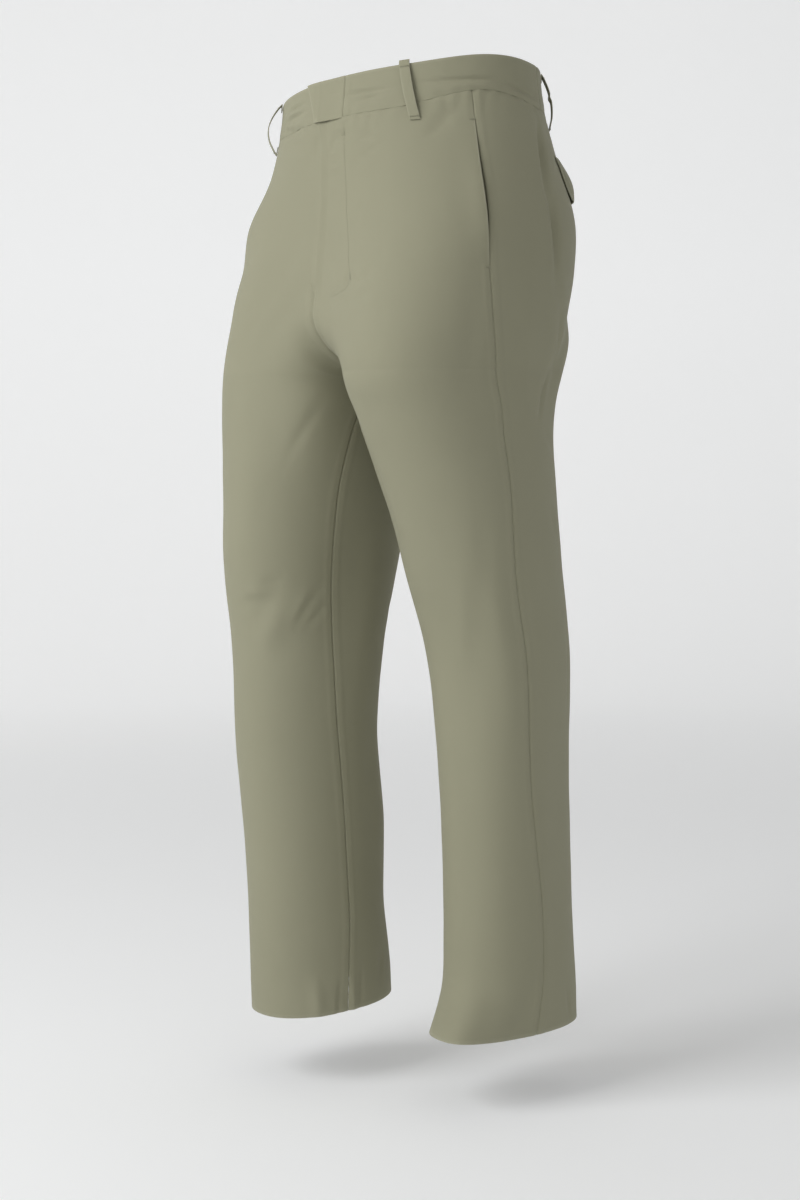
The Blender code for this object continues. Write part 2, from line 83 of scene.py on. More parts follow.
# %% Level sections of one half
SECTION_COLUMNS = ("drop", "outer", "inner", "middle", "front", "back", "square")
SECTION_ROWS = (
    (0.000, 0.167, -0.165, 0.000, 0.118, 0.115, 2.0),
    (0.050, 0.173, -0.165, 0.001, 0.124, 0.122, 2.0),
    (0.100, 0.183, -0.160, 0.001, 0.129, 0.133, 2.2),
    (0.150, 0.193, -0.145, -0.003, 0.131, 0.145, 2.4),
    (0.200, 0.198, -0.107, -0.012, 0.133, 0.140, 2.5),
    (0.240, 0.200, -0.049, -0.018, 0.133, 0.131, 2.4),
    (0.270, 0.200, -0.007, -0.022, 0.131, 0.126, 2.4),
    (0.305, 0.198, 0.017, -0.027, 0.126, 0.115, 2.4),
    (0.335, 0.196, 0.0190, -0.030, 0.122, 0.107, 2.4),
    (0.400, 0.191, 0.0240, -0.031, 0.112, 0.102, 2.35),
    (0.450, 0.186, 0.0300, -0.028, 0.106, 0.098, 2.35),
    (0.500, 0.181, 0.0345, -0.024, 0.101, 0.095, 2.35),
    (0.600, 0.170, 0.038, -0.010, 0.092, 0.090, 2.3),
    (0.700, 0.164, 0.042, -0.007, 0.086, 0.086, 2.3),
    (0.800, 0.160, 0.042, -0.002, 0.084, 0.084, 2.25),
    (0.900, 0.159, 0.041, 0.002, 0.084, 0.083, 2.2),
    (0.970, 0.160, 0.040, 0.004, 0.085, 0.084, 2.2),
    (1.020, 0.162, 0.038, 0.005, 0.092, 0.085, 2.2),
)

# %% Where the seams run
SEAM_COLUMNS = ("drop", "side_seam", "inseam")
HIP_SEAM_ROWS = (
    (0.000, -23.0, -180),
    (0.060, -22.0, -180),
    (0.130, -17.5, -180),
    (0.200, -13.5, -180),
    (0.260, -10.0, -180),
    (0.290, -7.5, -180),
)
LEG_SEAM_ROWS = {
    LEFT: (
        (0.335, -5.3, -179),
        (0.385, -9.5, -180),
        (0.436, -16.0, -184),
        (0.487, -24.0, -190),
        (0.540, -30.0, -195),
        (0.600, -31.0, -196),
        (0.700, -28.5, -195),
        (0.755, -26.0, -193),
        (0.808, -21.0, -190),
        (0.863, -15.0, -186),
        (0.917, -12.0, -184),
        (1.020, -12.0, -184),
    ),
    RIGHT: (
        (0.335, -5.0, -171.5),
        (0.365, -4.0, -168.3),
        (0.415, -3.0, -166.2),
        (0.500, -4.0, -168.8),
        (0.600, -5.0, -170),
        (0.660, -7.0, -173.5),
        (0.715, -9.0, -177),
        (0.775, -11.0, -179),
        (0.850, -12.0, -180),
        (0.915, -12.0, -180),
        (0.970, -12.0, -178),
        (1.020, -12.0, -176),
    ),
}

# %% The stance
POSE_COLUMNS = ("drop", "behind", "turn", "front_more", "back_more")
POSE_ROWS = {
    LEFT: (
        (0.305, 0.000, 0, 0.00, 0.00),
        (0.350, 0.005, 3, -0.07, -0.01),
        (0.420, 0.020, 10, -0.13, -0.03),
        (0.500, 0.036, 15, -0.155, -0.05),
        (0.600, 0.050, 18, -0.13, -0.05),
        (0.750, 0.057, 18, -0.06, -0.03),
        (0.900, 0.059, 14, -0.02, -0.02),
        (0.965, 0.060, 10, 0.05, -0.02),
        (1.010, 0.060, 8, 0.25, -0.02),
    ),
    RIGHT: (
        (0.305, 0.000, 0, 0.00, 0.00),
        (0.420, -0.010, 1, 0.055, 0.03),
        (0.500, -0.024, 2, 0.08, 0.04),
        (0.600, -0.042, 3, 0.07, -0.16),
        (0.680, -0.048, 4, 0.05, -0.18),
        (0.800, -0.052, 4, 0.00, -0.07),
        (0.900, -0.053, 4, -0.02, -0.09),
        (0.965, -0.053, 3, -0.03, -0.02),
        (1.010, -0.053, 3, -0.11, -0.03),
    ),
}
WAIST_LEAN_SIDE = 0.066
WAIST_LEAN_FRONT = 0.020
HEM_LEAN = {LEFT: 0.0, RIGHT: 0.08}
HEM_RISE = {LEFT: 0.0, RIGHT: 0.004}
HEM_LEAN_FROM = 0.85

# %% [markdown]
# ## The drape
#
# Cloth on a standing body is smooth nearly everywhere, with a few long forms where it hangs from the seat
# and the knee, and short pulls round the fly, the waist and the hems. A simulation gives folds of its own
# choosing, and these have to lie where they lie on the real pair. So each one is a row: where it starts,
# where it ends, how wide it is and how far it rises or sinks. Broad forms come first, then fine creases.

# %% Broad forms
FOLD_COLUMNS = ("side", "drop_from", "angle_from", "drop_to", "angle_to", "width", "height")
FOLD_ROWS = (
    (LEFT, 0.195, 62, 0.375, 22, 0.016, -0.0045),
    (LEFT, 0.215, 74, 0.400, 36, 0.022, 0.0034),
    (LEFT, 0.420, -58, 0.720, -46, 0.030, 0.0035),
    (LEFT, 0.330, -96, 0.600, -84, 0.034, 0.0030),
    (LEFT, 0.020, -84, 0.260, -104, 0.050, -0.0110),
    (LEFT, 0.130, -90, 0.320, -116, 0.045, -0.0140),
    (LEFT, 0.500, 60, 0.640, 72, 0.012, -0.0025),
    (LEFT, 0.620, 10, 0.960, 2, 0.030, -0.0022),
    (LEFT, 0.700, 96, 0.980, 84, 0.026, 0.0030),
    (LEFT, 0.950, -62, 1.030, -88, 0.038, 0.0085),
    (LEFT, 0.930, -20, 1.030, -32, 0.020, -0.0026),
    (LEFT, 0.060, 36, 0.120, 34, 0.012, -0.0012),
    (RIGHT, 0.085, -34, 0.195, -48, 0.045, 0.0090),
    (RIGHT, 0.330, -104, 0.560, -92, 0.034, 0.0030),
    (RIGHT, 0.020, -84, 0.260, -104, 0.050, -0.0110),
    (RIGHT, 0.130, -90, 0.320, -116, 0.045, -0.0140),
    (LEFT, 0.240, -118, 0.540, -142, 0.034, -0.0125),
    (RIGHT, 0.200, -126, 0.455, -158, 0.040, 0.0090),
    (RIGHT, 0.210, -46, 0.335, -52, 0.045, -0.0040),
    (RIGHT, 0.520, -140, 0.580, -100, 0.014, -0.0022),
    (RIGHT, 0.545, -146, 0.610, -104, 0.016, 0.0026),
    (RIGHT, 0.400, 176, 0.660, 190, 0.028, -0.0035),
    (RIGHT, 0.600, -60, 0.930, -56, 0.034, 0.0016),
    (RIGHT, 0.960, -172, 1.030, -176, 0.010, -0.0024),
    (RIGHT, 0.955, -150, 1.030, -152, 0.012, 0.0026),
    (RIGHT, 0.200, 66, 0.370, 26, 0.018, -0.0040),
    (RIGHT, 0.225, 78, 0.390, 40, 0.022, 0.0040),
    (LEFT, 0.330, 128, 0.470, 92, 0.020, -0.0035),
    (RIGHT, 0.325, 132, 0.480, 98, 0.022, -0.0038),
    (LEFT, 0.560, 118, 0.620, 70, 0.014, -0.0030),
    (RIGHT, 0.575, 124, 0.640, 76, 0.015, -0.0034),
    (RIGHT, 0.690, 98, 0.990, 90, 0.028, 0.0040),
    (RIGHT, 0.620, 150, 0.940, 156, 0.026, -0.0026),
)

# %% Fine creases round the waist and the fly
WAIST_CREASES = (
    (LEFT, 0.0195, -80, 0.0225, -53, 0.0022, -0.0020),
    (LEFT, 0.0280, -74, 0.0280, -57, 0.0020, -0.0016),
    (LEFT, 0.0625, -72, 0.0600, -85, 0.0020, -0.0026),
    (LEFT, 0.0590, -80, 0.0810, -87, 0.0022, -0.0026),
    (LEFT, 0.0885, -92, 0.0830, -79, 0.0022, -0.0019),
    (LEFT, 0.1025, -93, 0.0970, -79, 0.0022, -0.0019),
    (LEFT, 0.0700, -75, 0.0600, -59, 0.0026, -0.0019),
    (LEFT, 0.0890, -76, 0.0730, -58, 0.0030, -0.0019),
    (LEFT, 0.0620, -44, 0.0420, -23, 0.0032, -0.0020),
    (LEFT, 0.0800, -48, 0.0510, -27, 0.0036, -0.0020),
    (LEFT, 0.0200, -50, 0.0195, 2, 0.0022, -0.0020),
    (LEFT, 0.0200, -16, 0.0350, 24, 0.0024, -0.0020),
    (LEFT, 0.0265, -44, 0.0265, 0, 0.0042, 0.0016),
    (LEFT, 0.0430, -1, 0.0450, 33, 0.0022, -0.0023),
    (LEFT, 0.0220, 30, 0.0280, 76, 0.0026, -0.0019),
    (RIGHT, 0.0380, -88.6, 0.0860, -88.2, 0.0046, -0.0072),
    (RIGHT, 0.0300, -49, 0.0515, -90, 0.0034, -0.0023),
    (RIGHT, 0.0530, -59, 0.0630, -92, 0.0030, -0.0020),
    (RIGHT, 0.0175, -58, 0.0155, -84, 0.0020, -0.0016),
    (RIGHT, 0.0275, -58, 0.0265, -84, 0.0020, -0.0016),
    (RIGHT, 0.0225, -58, 0.0210, -85, 0.0034, 0.0020),
    (RIGHT, 0.0180, -40, 0.0210, 4, 0.0022, -0.0019),
    (RIGHT, 0.0290, 10, 0.0220, 62, 0.0026, -0.0019),
    (RIGHT, 0.0560, 58, 0.0630, 86, 0.0032, -0.0023),
    (LEFT, 0.0560, 62, 0.0620, 88, 0.0030, -0.0023),
)

# %% Fine creases over the hips and the seat
HIP_CREASES = (
    (LEFT, 0.040, 18, 0.140, 9, 0.0038, -0.0060),
    (LEFT, 0.100, 9.5, 0.224, 18, 0.0038, -0.0060),
    (LEFT, 0.054, 21, 0.084, 35, 0.0042, -0.0011),
    (LEFT, 0.074, 35, 0.110, 21, 0.0042, -0.0011),
    (LEFT, 0.120, 15.5, 0.154, 13.5, 0.0026, -0.0008),
    (LEFT, 0.194, 12, 0.246, 29, 0.0060, -0.0018),
    (LEFT, 0.226, 24, 0.318, 39, 0.0055, -0.0028),
    (LEFT, 0.278, 38, 0.368, 14, 0.0045, -0.0034),
    (LEFT, 0.150, -1, 0.380, 10, 0.0100, 0.0012),
    (LEFT, 0.180, -19, 0.380, -22, 0.0100, -0.0008),
    (LEFT, 0.190, -83.4, 0.222, -88.0, 0.0020, -0.0012),
    (LEFT, 0.2150, -86.0, 0.2275, -101, 0.0020, -0.0016),
    (LEFT, 0.220, -87, 0.202, -67, 0.0040, -0.0011),
    (LEFT, 0.232, -90, 0.227, -67, 0.0040, -0.0010),
    (RIGHT, 0.190, 14, 0.250, 31, 0.0060, -0.0016),
    (RIGHT, 0.234, 26, 0.326, 41, 0.0070, -0.0020),
    (RIGHT, 0.298, 38, 0.372, 17, 0.0060, -0.0016),
    (RIGHT, 0.053, 23, 0.086, 36, 0.0042, -0.0010),
    (RIGHT, 0.052, 17, 0.138, 10, 0.0032, -0.0009),
    (RIGHT, 0.160, -2, 0.390, 8, 0.0100, 0.0010),
    (RIGHT, 0.236, -88, 0.232, -64, 0.0044, -0.0009),
    (LEFT, 0.130, 82, 0.188, 54, 0.0080, -0.0013),
    (RIGHT, 0.136, 84, 0.192, 53, 0.0084, -0.0014),
    (LEFT, 0.268, 134, 0.332, 94, 0.0070, -0.0022),
    (RIGHT, 0.274, 136, 0.340, 96, 0.0072, -0.0022),
    (LEFT, 0.300, 146, 0.374, 98, 0.0070, -0.0018),
    (RIGHT, 0.306, 148, 0.382, 100, 0.0074, -0.0018),
    (LEFT, 0.316, 124, 0.354, 78, 0.0060, 0.0014),
    (RIGHT, 0.322, 126, 0.362, 80, 0.0062, 0.0014),
    (LEFT, 0.314, -152, 0.404, -128, 0.0070, -0.0013),
    (RIGHT, 0.318, -154, 0.412, -126, 0.0070, -0.0013),
    (LEFT, 0.318, 174, 0.432, 158, 0.0070, -0.0016),
    (RIGHT, 0.316, 170, 0.442, 156, 0.0072, -0.0016),
)

# %% Fine creases down the legs
LEG_CREASES = (
    (LEFT, 0.400, -34, 0.610, -73, 0.0160, -0.0015),
    (LEFT, 0.450, -61, 0.690, -106, 0.0140, 0.0016),
    (LEFT, 0.360, 17, 0.392, 41, 0.0060, -0.0014),
    (LEFT, 0.428, 15, 0.494, 24, 0.0050, -0.0011),
    (LEFT, 0.545, 23, 0.695, 19, 0.0042, -0.0010),
    (LEFT, 0.546, 130, 0.568, 82, 0.0060, -0.0018),
    (LEFT, 0.590, 122, 0.606, 74, 0.0060, -0.0016),
    (LEFT, 0.572, 108, 0.588, 68, 0.0052, 0.0014),
    (LEFT, 0.700, 104, 0.905, 98, 0.0100, -0.0014),
    (LEFT, 0.942, -116, 0.954, -76, 0.0040, -0.0011),
    (LEFT, 0.980, -134, 0.977, -68, 0.0040, -0.0012),
    (LEFT, 0.977, -82, 0.979, -24, 0.0040, -0.0011),
    (LEFT, 0.955, 12, 1.018, 25, 0.0050, -0.0016),
    (LEFT, 0.968, 118, 1.020, 112, 0.0060, -0.0014),
    (RIGHT, 0.430, -38, 0.640, -67, 0.0160, -0.0014),
    (RIGHT, 0.523, -168, 0.578, -139, 0.0050, -0.0015),
    (RIGHT, 0.530, -158, 0.584, -134, 0.0060, 0.0012),
    (RIGHT, 0.540, -172, 0.586, -146, 0.0042, -0.0013),
    (RIGHT, 0.532, -110, 0.523, -143, 0.0044, -0.0013),
    (RIGHT, 0.554, -86, 0.545, -123, 0.0050, -0.0015),
    (RIGHT, 0.543, -92, 0.535, -136, 0.0070, 0.0012),
    (RIGHT, 0.380, 20, 0.402, 41, 0.0060, -0.0013),
    (RIGHT, 0.560, 25, 0.705, 18, 0.0044, -0.0010),
    (RIGHT, 0.556, 134, 0.582, 88, 0.0062, -0.0020),
    (RIGHT, 0.604, 128, 0.624, 82, 0.0062, -0.0016),
    (RIGHT, 0.588, 112, 0.606, 76, 0.0054, 0.0014),
    (RIGHT, 0.720, 108, 0.930, 100, 0.0100, -0.0014),
    (RIGHT, 0.968, -171, 1.026, -166, 0.0045, -0.0016),
    (RIGHT, 0.956, 180, 1.030, 180, 0.0040, 0.0014),
    (RIGHT, 0.952, 171, 1.030, 177, 0.0045, -0.0016),
    (RIGHT, 0.942, 144, 0.994, 154, 0.0060, -0.0016),
    (RIGHT, 0.945, -70, 0.945, -128, 0.0030, -0.0008),
    (RIGHT, 0.955, 16, 1.018, 24, 0.0050, -0.0014),
    (RIGHT, 0.980, -62, 0.976, -8, 0.0042, -0.0011),
)


# %% Tables with named columns
def table(columns, rows):
    return {name: np.array(values, float) for name, values in zip(columns, zip(*rows))}


def smooth_table(columns, rows):
    values = table(columns, rows)
    for name in columns[1:]:
        slopes = np.gradient(values[name], values["drop"])
        slopes[0] = 0
        values[name + "_slope"] = slopes
    return values


ALL_FOLDS = FOLD_ROWS + WAIST_CREASES + HIP_CREASES + LEG_CREASES
SECTIONS = smooth_table(SECTION_COLUMNS, SECTION_ROWS)
SEAMS = {side: smooth_table(SEAM_COLUMNS, HIP_SEAM_ROWS + rows) for side, rows in LEG_SEAM_ROWS.items()}
POSES = {side: smooth_table(POSE_COLUMNS, rows) for side, rows in POSE_ROWS.items()}
print("folds and creases:", len(ALL_FOLDS))


# %% Reading a table on a smooth curve
def read(values, column, drop):
    knots = values["drop"]
    heights = values[column]
    slopes = values[column + "_slope"]
    drop = np.clip(drop, knots[0], knots[-1])
    row = np.clip(np.searchsorted(knots, drop, side="right") - 1, 0, len(knots) - 2)
    step = knots[row + 1] - knots[row]
    t = (drop - knots[row]) / step
    start = (1 + 2 * t) * (1 - t) ** 2 * heights[row] + t * (1 - t) ** 2 * step * slopes[row]
    end = t**2 * (3 - 2 * t) * heights[row + 1] + t**2 * (t - 1) * step * slopes[row + 1]
    return start + end


def ease(t):
    t = np.clip(t, 0, 1)
    return t * t * (3 - 2 * t)


def bump(at, start, end):
    return np.sin(np.pi * np.clip((at - start) / (end - start), 0, 1)) ** 2


# %% A point of the form, and the way out of the cloth there
def sizes(drop):
    outer = read(SECTIONS, "outer", drop)
    inner = read(SECTIONS, "inner", drop)
    return (outer + inner) / 2, (outer - inner) / 2, read(SECTIONS, "middle", drop)


def level_point(drop, angle):
    centre, width, middle = sizes(drop)
    power = 2 / read(SECTIONS, "square", drop)
    cosine, sine = np.cos(np.radians(angle)), np.sin(np.radians(angle))
    reach = np.where(sine > 0, read(SECTIONS, "back", drop), read(SECTIONS, "front", drop))
    sharp = centre + width * np.sign(cosine) * np.abs(cosine) ** power
    x = np.sqrt(np.maximum(0, np.maximum(sharp, 0) ** 2 - SADDLE**2))
    return x, middle + reach * np.sign(sine) * np.abs(sine) ** power


def fullness(x, y, drop):
    centre, width, middle = sizes(drop)
    power = read(SECTIONS, "square", drop)
    sharp = np.sqrt(x**2 + SADDLE**2)
    reach = np.where(y > middle, read(SECTIONS, "back", drop), read(SECTIONS, "front", drop))
    return (np.abs(sharp - centre) / width) ** power + (np.abs(y - middle) / reach) ** power


def outward(x, y, drop):
    step = 0.0005
    across = fullness(x + step, y, drop) - fullness(x - step, y, drop)
    deep = fullness(x, y + step, drop) - fullness(x, y - step, drop)
    up = fullness(x, y, drop - step) - fullness(x, y, drop + step)
    slope = np.stack((across, deep, up), -1)
    return slope / np.linalg.norm(slope, axis=-1, keepdims=True)


# %% The stance of each half
def pose(side, points):
    x, y, drop = points[..., 0], points[..., 1], -points[..., 2]
    posed = POSES[side]
    centre, _, middle = sizes(drop)
    depth = y - middle
    front_more = read(posed, "front_more", drop)
    back_more = read(posed, "back_more", drop)
    depth = depth * (1 + np.where(depth < 0, front_more, back_more))
    width = (x - centre) * (1 - (front_more + back_more) / 4)
    turn = np.radians(read(posed, "turn", drop))
    x = centre + width * np.cos(turn) - depth * np.sin(turn)
    y = middle + depth * np.cos(turn) + width * np.sin(turn) + read(posed, "behind", drop)
    above = np.clip(1 - drop / CROTCH, 0, None) ** 2
    low = ease((drop - HEM_LEAN_FROM) / (HEM - HEM_LEAN_FROM))
    z = -drop + above * (WAIST_LEAN_SIDE * side * x + WAIST_LEAN_FRONT * y)
    z = z + low * (HEM_LEAN[side] * depth + HEM_RISE[side])
    return np.stack((side * x, y, z), -1)


def inner_limit(drop):
    centre, width, _ = sizes(drop)
    power = read(SECTIONS, "square", drop) / 2
    share = (SADDLE - centre) / width
    cosine = np.sign(share) * np.minimum(1, np.abs(share)) ** power
    return np.degrees(np.arccos(cosine))


# %% [markdown]
# The folds are added up at each point and raise or sink the skin along its outward direction. Near the
# centre front and back each half takes half of the other's folds, so a crease crosses the middle without
# a step. A slow unevenness, far below a millimetre, keeps the large faces from looking machined.


# %% How far the drape raises the skin
FOLD_RADIUS = 0.11
MIDDLE_RADIUS = 0.13
SHARED_AT_FLY = 0.022
SHARED_MORE_BELOW = 0.023
PARTING = 0.030
SLOW_RISE = 0.0005
QUICK_RISE = 0.00018
FOLDS = {}
for side in (LEFT, RIGHT):
    FOLDS[side] = table(FOLD_COLUMNS, [row for row in ALL_FOLDS if row[0] == side])
    print(SIDE_NAMES[side], "half has", len(FOLDS[side]["width"]), "folds and creases")


def fold_height(side, drop, angle):
    fold = FOLDS[side]
    drop, angle = np.broadcast_arrays(drop, angle)
    down = drop[..., None] - fold["drop_from"]
    round_by = FOLD_RADIUS * np.radians((angle[..., None] - fold["angle_from"] + 180) % 360 - 180)
    run_down = fold["drop_to"] - fold["drop_from"]
    run_round = FOLD_RADIUS * np.radians(fold["angle_to"] - fold["angle_from"])
    square = run_down**2 + run_round**2
    along = (down * run_down + round_by * run_round) / square
    off = (down * run_round - round_by * run_down) / np.sqrt(square)
    shape = bump(along, 0, 1) * np.exp(-((off / fold["width"]) ** 2))
    return (fold["height"] * shape).sum(-1)


def unevenness(side, x, y, drop):
    across = side * x
    slow = np.sin(21 * across + 13 * drop + 5) * np.sin(24 * y - 17 * drop + 1)
    quick = np.sin(47 * across - 38 * drop) * np.sin(53 * y + 61 * drop + 2)
    return SLOW_RISE * slow + QUICK_RISE * quick


def skin(side, drop, angle, lift):
    drop = drop + np.zeros(np.broadcast(drop, angle).shape)
    x, y = level_point(drop, angle)
    own = fold_height(side, drop, angle)
    both = (own + fold_height(-side, drop, angle)) / 2
    from_middle = MIDDLE_RADIUS * np.radians(inner_limit(drop) - np.abs(angle))
    near = SHARED_AT_FLY + SHARED_MORE_BELOW * ease((drop - 0.190) / 0.040)
    apart = ease(from_middle / near + np.maximum(0, drop - CROTCH) / PARTING)
    height = both + (own - both) * apart + unevenness(side, x, y, drop) + lift
    points = np.stack((x, y, -drop), -1) + outward(x, y, drop) * np.expand_dims(height, -1)
    return pose(side, points)


# %% Going round the waist and the hips with a tape
def half_ring(drop):
    limit = inner_limit(drop)
    angles = np.linspace(-limit, limit, 721)
    x, y = level_point(drop, angles)
    return angles, np.concatenate(([0], np.cumsum(np.hypot(np.diff(x), np.diff(y)))))


def girth_of(drop, side, angle):
    angles, girth = half_ring(drop)
    place = np.interp(angle, angles, girth)
    return place if side == LEFT else 2 * girth[-1] - place


def whole_girth(drop):
    return 2 * half_ring(drop)[1][-1]


def tape_place(drop, girths):
    angles, girth = half_ring(drop)
    turn = 2 * girth[-1]
    place = np.mod(girths, turn)
    by_left = place <= girth[-1]
    along = np.where(by_left, place, turn - place)
    return by_left, np.interp(along, girth, angles)


def worn_points(by_left, drop, angle, lift):
    by_left, drop, angle, lift = np.broadcast_arrays(by_left, drop, angle, lift)
    points = np.empty((len(angle), 3))
    for side, half in ((LEFT, by_left > 0.5), (RIGHT, by_left < 0.5)):
        points[half] = skin(side, drop[half], angle[half], lift[half])
    return points


def tape_skin(drop, girths, lift):
    by_left, angle = tape_place(drop, girths)
    return worn_points(by_left, drop, angle, lift)


print("girth at the waist:", round(whole_girth(0), 3), "m")
print("girth at the hips:", round(whole_girth(0.2), 3), "m")

# %% [markdown]
# ## Cutting a sheet of cloth
#
# Every piece of cloth starts as Blender's own grid primitive, one metre square, lying flat like cloth on
# a cutting table. Its rows are then laid one by one on the form. The UV map keeps the distance of each
# point along its row and down the leg in metres, so that the weave has its true scale and follows the
# grain of the cut, which a projected texture can't do on a turned leg.


# %% A flat grid, laid row by row
def cut_sheet(name, across, down):
    bpy.ops.object.select_all(action="DESELECT")
    bpy.ops.mesh.primitive_grid_add(x_subdivisions=across, y_subdivisions=down, size=1)
    piece = bpy.context.object
    piece.name = name
    piece.data.name = name
    return piece


def lay(piece, place):
    mesh = piece.data
    flat = np.empty(len(mesh.vertices) * 3)
    mesh.vertices.foreach_get("co", flat)
    flat = flat.reshape(-1, 3)
    across = flat[:, 0] + 0.5
    down = 0.5 - flat[:, 1]
    facts = ("by_left", "drop", "angle", "lift", "length", "wear", "double")
    cloth = {fact: np.zeros(len(flat)) for fact in facts}
    rows = []
    for level in np.unique(np.round(down, 5)):
        row = np.flatnonzero(np.abs(down - level) < 0.0001)
        row = row[np.argsort(across[row])]
        rows.append(row)
        for fact, values in place(level, across[row]).items():
            cloth[fact][row] = values
    worn = worn_points(cloth["by_left"], cloth["drop"], cloth["angle"], cloth["lift"])
    grain = np.empty((len(flat), 2))
    for row in rows:
        run = np.linalg.norm(np.diff(worn[row], axis=0), axis=1)
        run = np.concatenate(([0], np.cumsum(run)))
        grain[row, 0] = run - run[-1] / 2
        grain[row, 1] = cloth["length"][row]
    mesh.vertices.foreach_set("co", worn.ravel())
    corners = np.empty(len(mesh.loops), np.int32)
    mesh.loops.foreach_get("vertex_index", corners)
    mesh.uv_layers.active.data.foreach_set("uv", grain[corners].ravel())
    mesh.attributes.new("wear", "FLOAT", "POINT").data.foreach_set("value", cloth["wear"])
    return cloth["double"]


# %% [markdown]
# A bare grid has no thickness. Solidify grows it inwards, so that the outside stays where the form is,
# and a vertex group makes hems, the fly's edge and the pockets' mouths twice as thick, as turned cloth
# is. A narrow Bevel on the rim then rounds the cut edge. Both are applied, so that the mesh itself is
# finished.

# %% Thickness and rounded edges
CLOTH = 0.0007
CLOTH_EDGE = 0.00022
DOUBLED = 2.0


def give_thickness(piece, thickness, double=None, edge=CLOTH_EDGE):
    bpy.ops.object.select_all(action="DESELECT")
    piece.select_set(True)
    bpy.context.view_layer.objects.active = piece
    wall = piece.modifiers.new("wall", "SOLIDIFY")
    wall.thickness = thickness
    wall.offset = -1
    if double is not None:
        wall.thickness = thickness * DOUBLED
        group = piece.vertex_groups.new(name="double")
        for index in np.flatnonzero(double > 0.001):
            group.add([int(index)], float(double[index]), "REPLACE")
        wall.vertex_group = "double"
        wall.thickness_vertex_group = 1 / DOUBLED
    bpy.ops.object.modifier_apply(modifier="wall")
    rim = piece.modifiers.new("rim", "BEVEL")
    rim.limit_method = "ANGLE"
    rim.angle_limit = math.radians(55)
    rim.width = edge
    rim.segments = 2
    bpy.ops.object.modifier_apply(modifier="rim")
    bpy.ops.object.shade_smooth_by_angle(angle=math.radians(50))
    print(piece.name, len(piece.data.polygons), "faces")


def crowd(shares, amount=0.6):
    return shares - amount / (2 * np.pi) * np.sin(2 * np.pi * shares)


# %% [markdown]
# ## How an edge looks where it is sewn
#
# Two cuts meet in a seam: both edges turn in, so the eye sees a narrow groove, and the turned cloth under
# it lifts a strip about a centimetre wide on each side. The thread draws the cloth up a little unevenly,
# which shows as faint puckers. One helper gives all three from the distance to the seam.


# %% The form of a seam
SEAM_DEPTH = 0.0009
CENTRE_SEAM_DEPTH = 0.0011
BAND_SEAM_DEPTH = 0.0008
GROOVE_WIDTH = 0.0009
TURNED_RISE = 0.00032
TURNED_FROM, TURNED_TO = 0.0010, 0.0120
PUCKER_RISE = 0.00016
PUCKER_PITCH = 0.0135
PUCKER_REACH = 0.0065


def seam_form(distance, run, depth=SEAM_DEPTH):
    groove = -depth * np.exp(-((distance / GROOVE_WIDTH) ** 2))
    turned = TURNED_RISE * bump(distance, TURNED_FROM, TURNED_TO)
    drift = 2.4 * np.sin(23 * run) + 1.7 * np.sin(57 * run + 1)
    wander = np.sin(2 * np.pi * run / PUCKER_PITCH + drift)
    pucker = PUCKER_RISE * wander * np.exp(-((distance / PUCKER_REACH) ** 2))
    return groove + turned + pucker


def mouth(drop):
    opened = ease((drop - POCKET_TOP) / MOUTH_END)
    return opened * (1 - ease((drop - POCKET_BOTTOM + MOUTH_END) / MOUTH_END))


def fly_part(drop):
    return 1 - ease((drop - FLY_BOTTOM + FLY_END) / FLY_END)


# %% [markdown]
# The waistband's lower seam isn't level: on the wearer's left it rides up about a centimetre over the
# pocket, and the top edge there stands a little higher.


# %% Where the waistband sits higher: by how much, and between which angles
SEAM_RISE = {LEFT: (0.0115, -58, 24), RIGHT: (0.0050, -54, 26)}
EDGE_RISE = {LEFT: (0.0038, -52, 26), RIGHT: (0.0012, -48, 20)}
RISE_FADE = 0.060


def risen(rises, by_left, angle):
    heights = {}
    for side, (height, start, end) in rises.items():
        heights[side] = height * bump(angle, start, end)
    return np.where(by_left, heights[LEFT], heights[RIGHT])


def hip_drop(by_left, angle, drop):
    fade = 1 - ease((drop - BAND_DEPTH) / RISE_FADE)
    return drop - risen(SEAM_RISE, by_left, angle) * fade


def band_drop(by_left, angle, down):
    seam = risen(SEAM_RISE, by_left, angle)
    edge = risen(EDGE_RISE, by_left, angle)
    return BAND_DEPTH * down - (seam * down + edge * (1 - down))


# %% [markdown]
# ## The four panels
#
# Each leg has a front and a back cut, from the waist seam to the hem. They start at the centre front or
# back, meet at the side seam, and below the crotch at the inseam. The rows lie close together where the
# two halves part, because the form turns quickly there.

# %% Rows of a panel
PANEL_ACROSS = 148
TUCK = 0.004
TUCK_LEVELS = BAND_DEPTH - TUCK + np.array((0, 0.0013, 0.0024, 0.0033))
HIP_LEVELS = BAND_DEPTH + (CROTCH - BAND_DEPTH) * np.sin(np.linspace(0, np.pi / 2, 88))
PARTING_LEVELS = CROTCH + 0.028 * np.linspace(0, 1, 13)[1:] ** 1.6
LEG_LEVELS = np.linspace(CROTCH + 0.032, HEM, 142)
LEVELS = np.concatenate((TUCK_LEVELS, HIP_LEVELS, PARTING_LEVELS, LEG_LEVELS))
HEM_DEPTH = 0.040
print("rows of a panel:", len(LEVELS))

# %% The hem's line and the waist seam
PRICK_PITCH = 0.0078
HEM_LINE = 0.00034
HEM_LINE_WIDTH = 0.0016
HEM_STEP = 0.00022
WAIST_GROOVE = 0.00045
WAIST_GROOVE_WIDTH = 0.0030
WAIST_PUCKER = 0.00030
WAIST_PUCKER_PITCH = 0.0170
WAIST_PUCKER_REACH = 0.0120


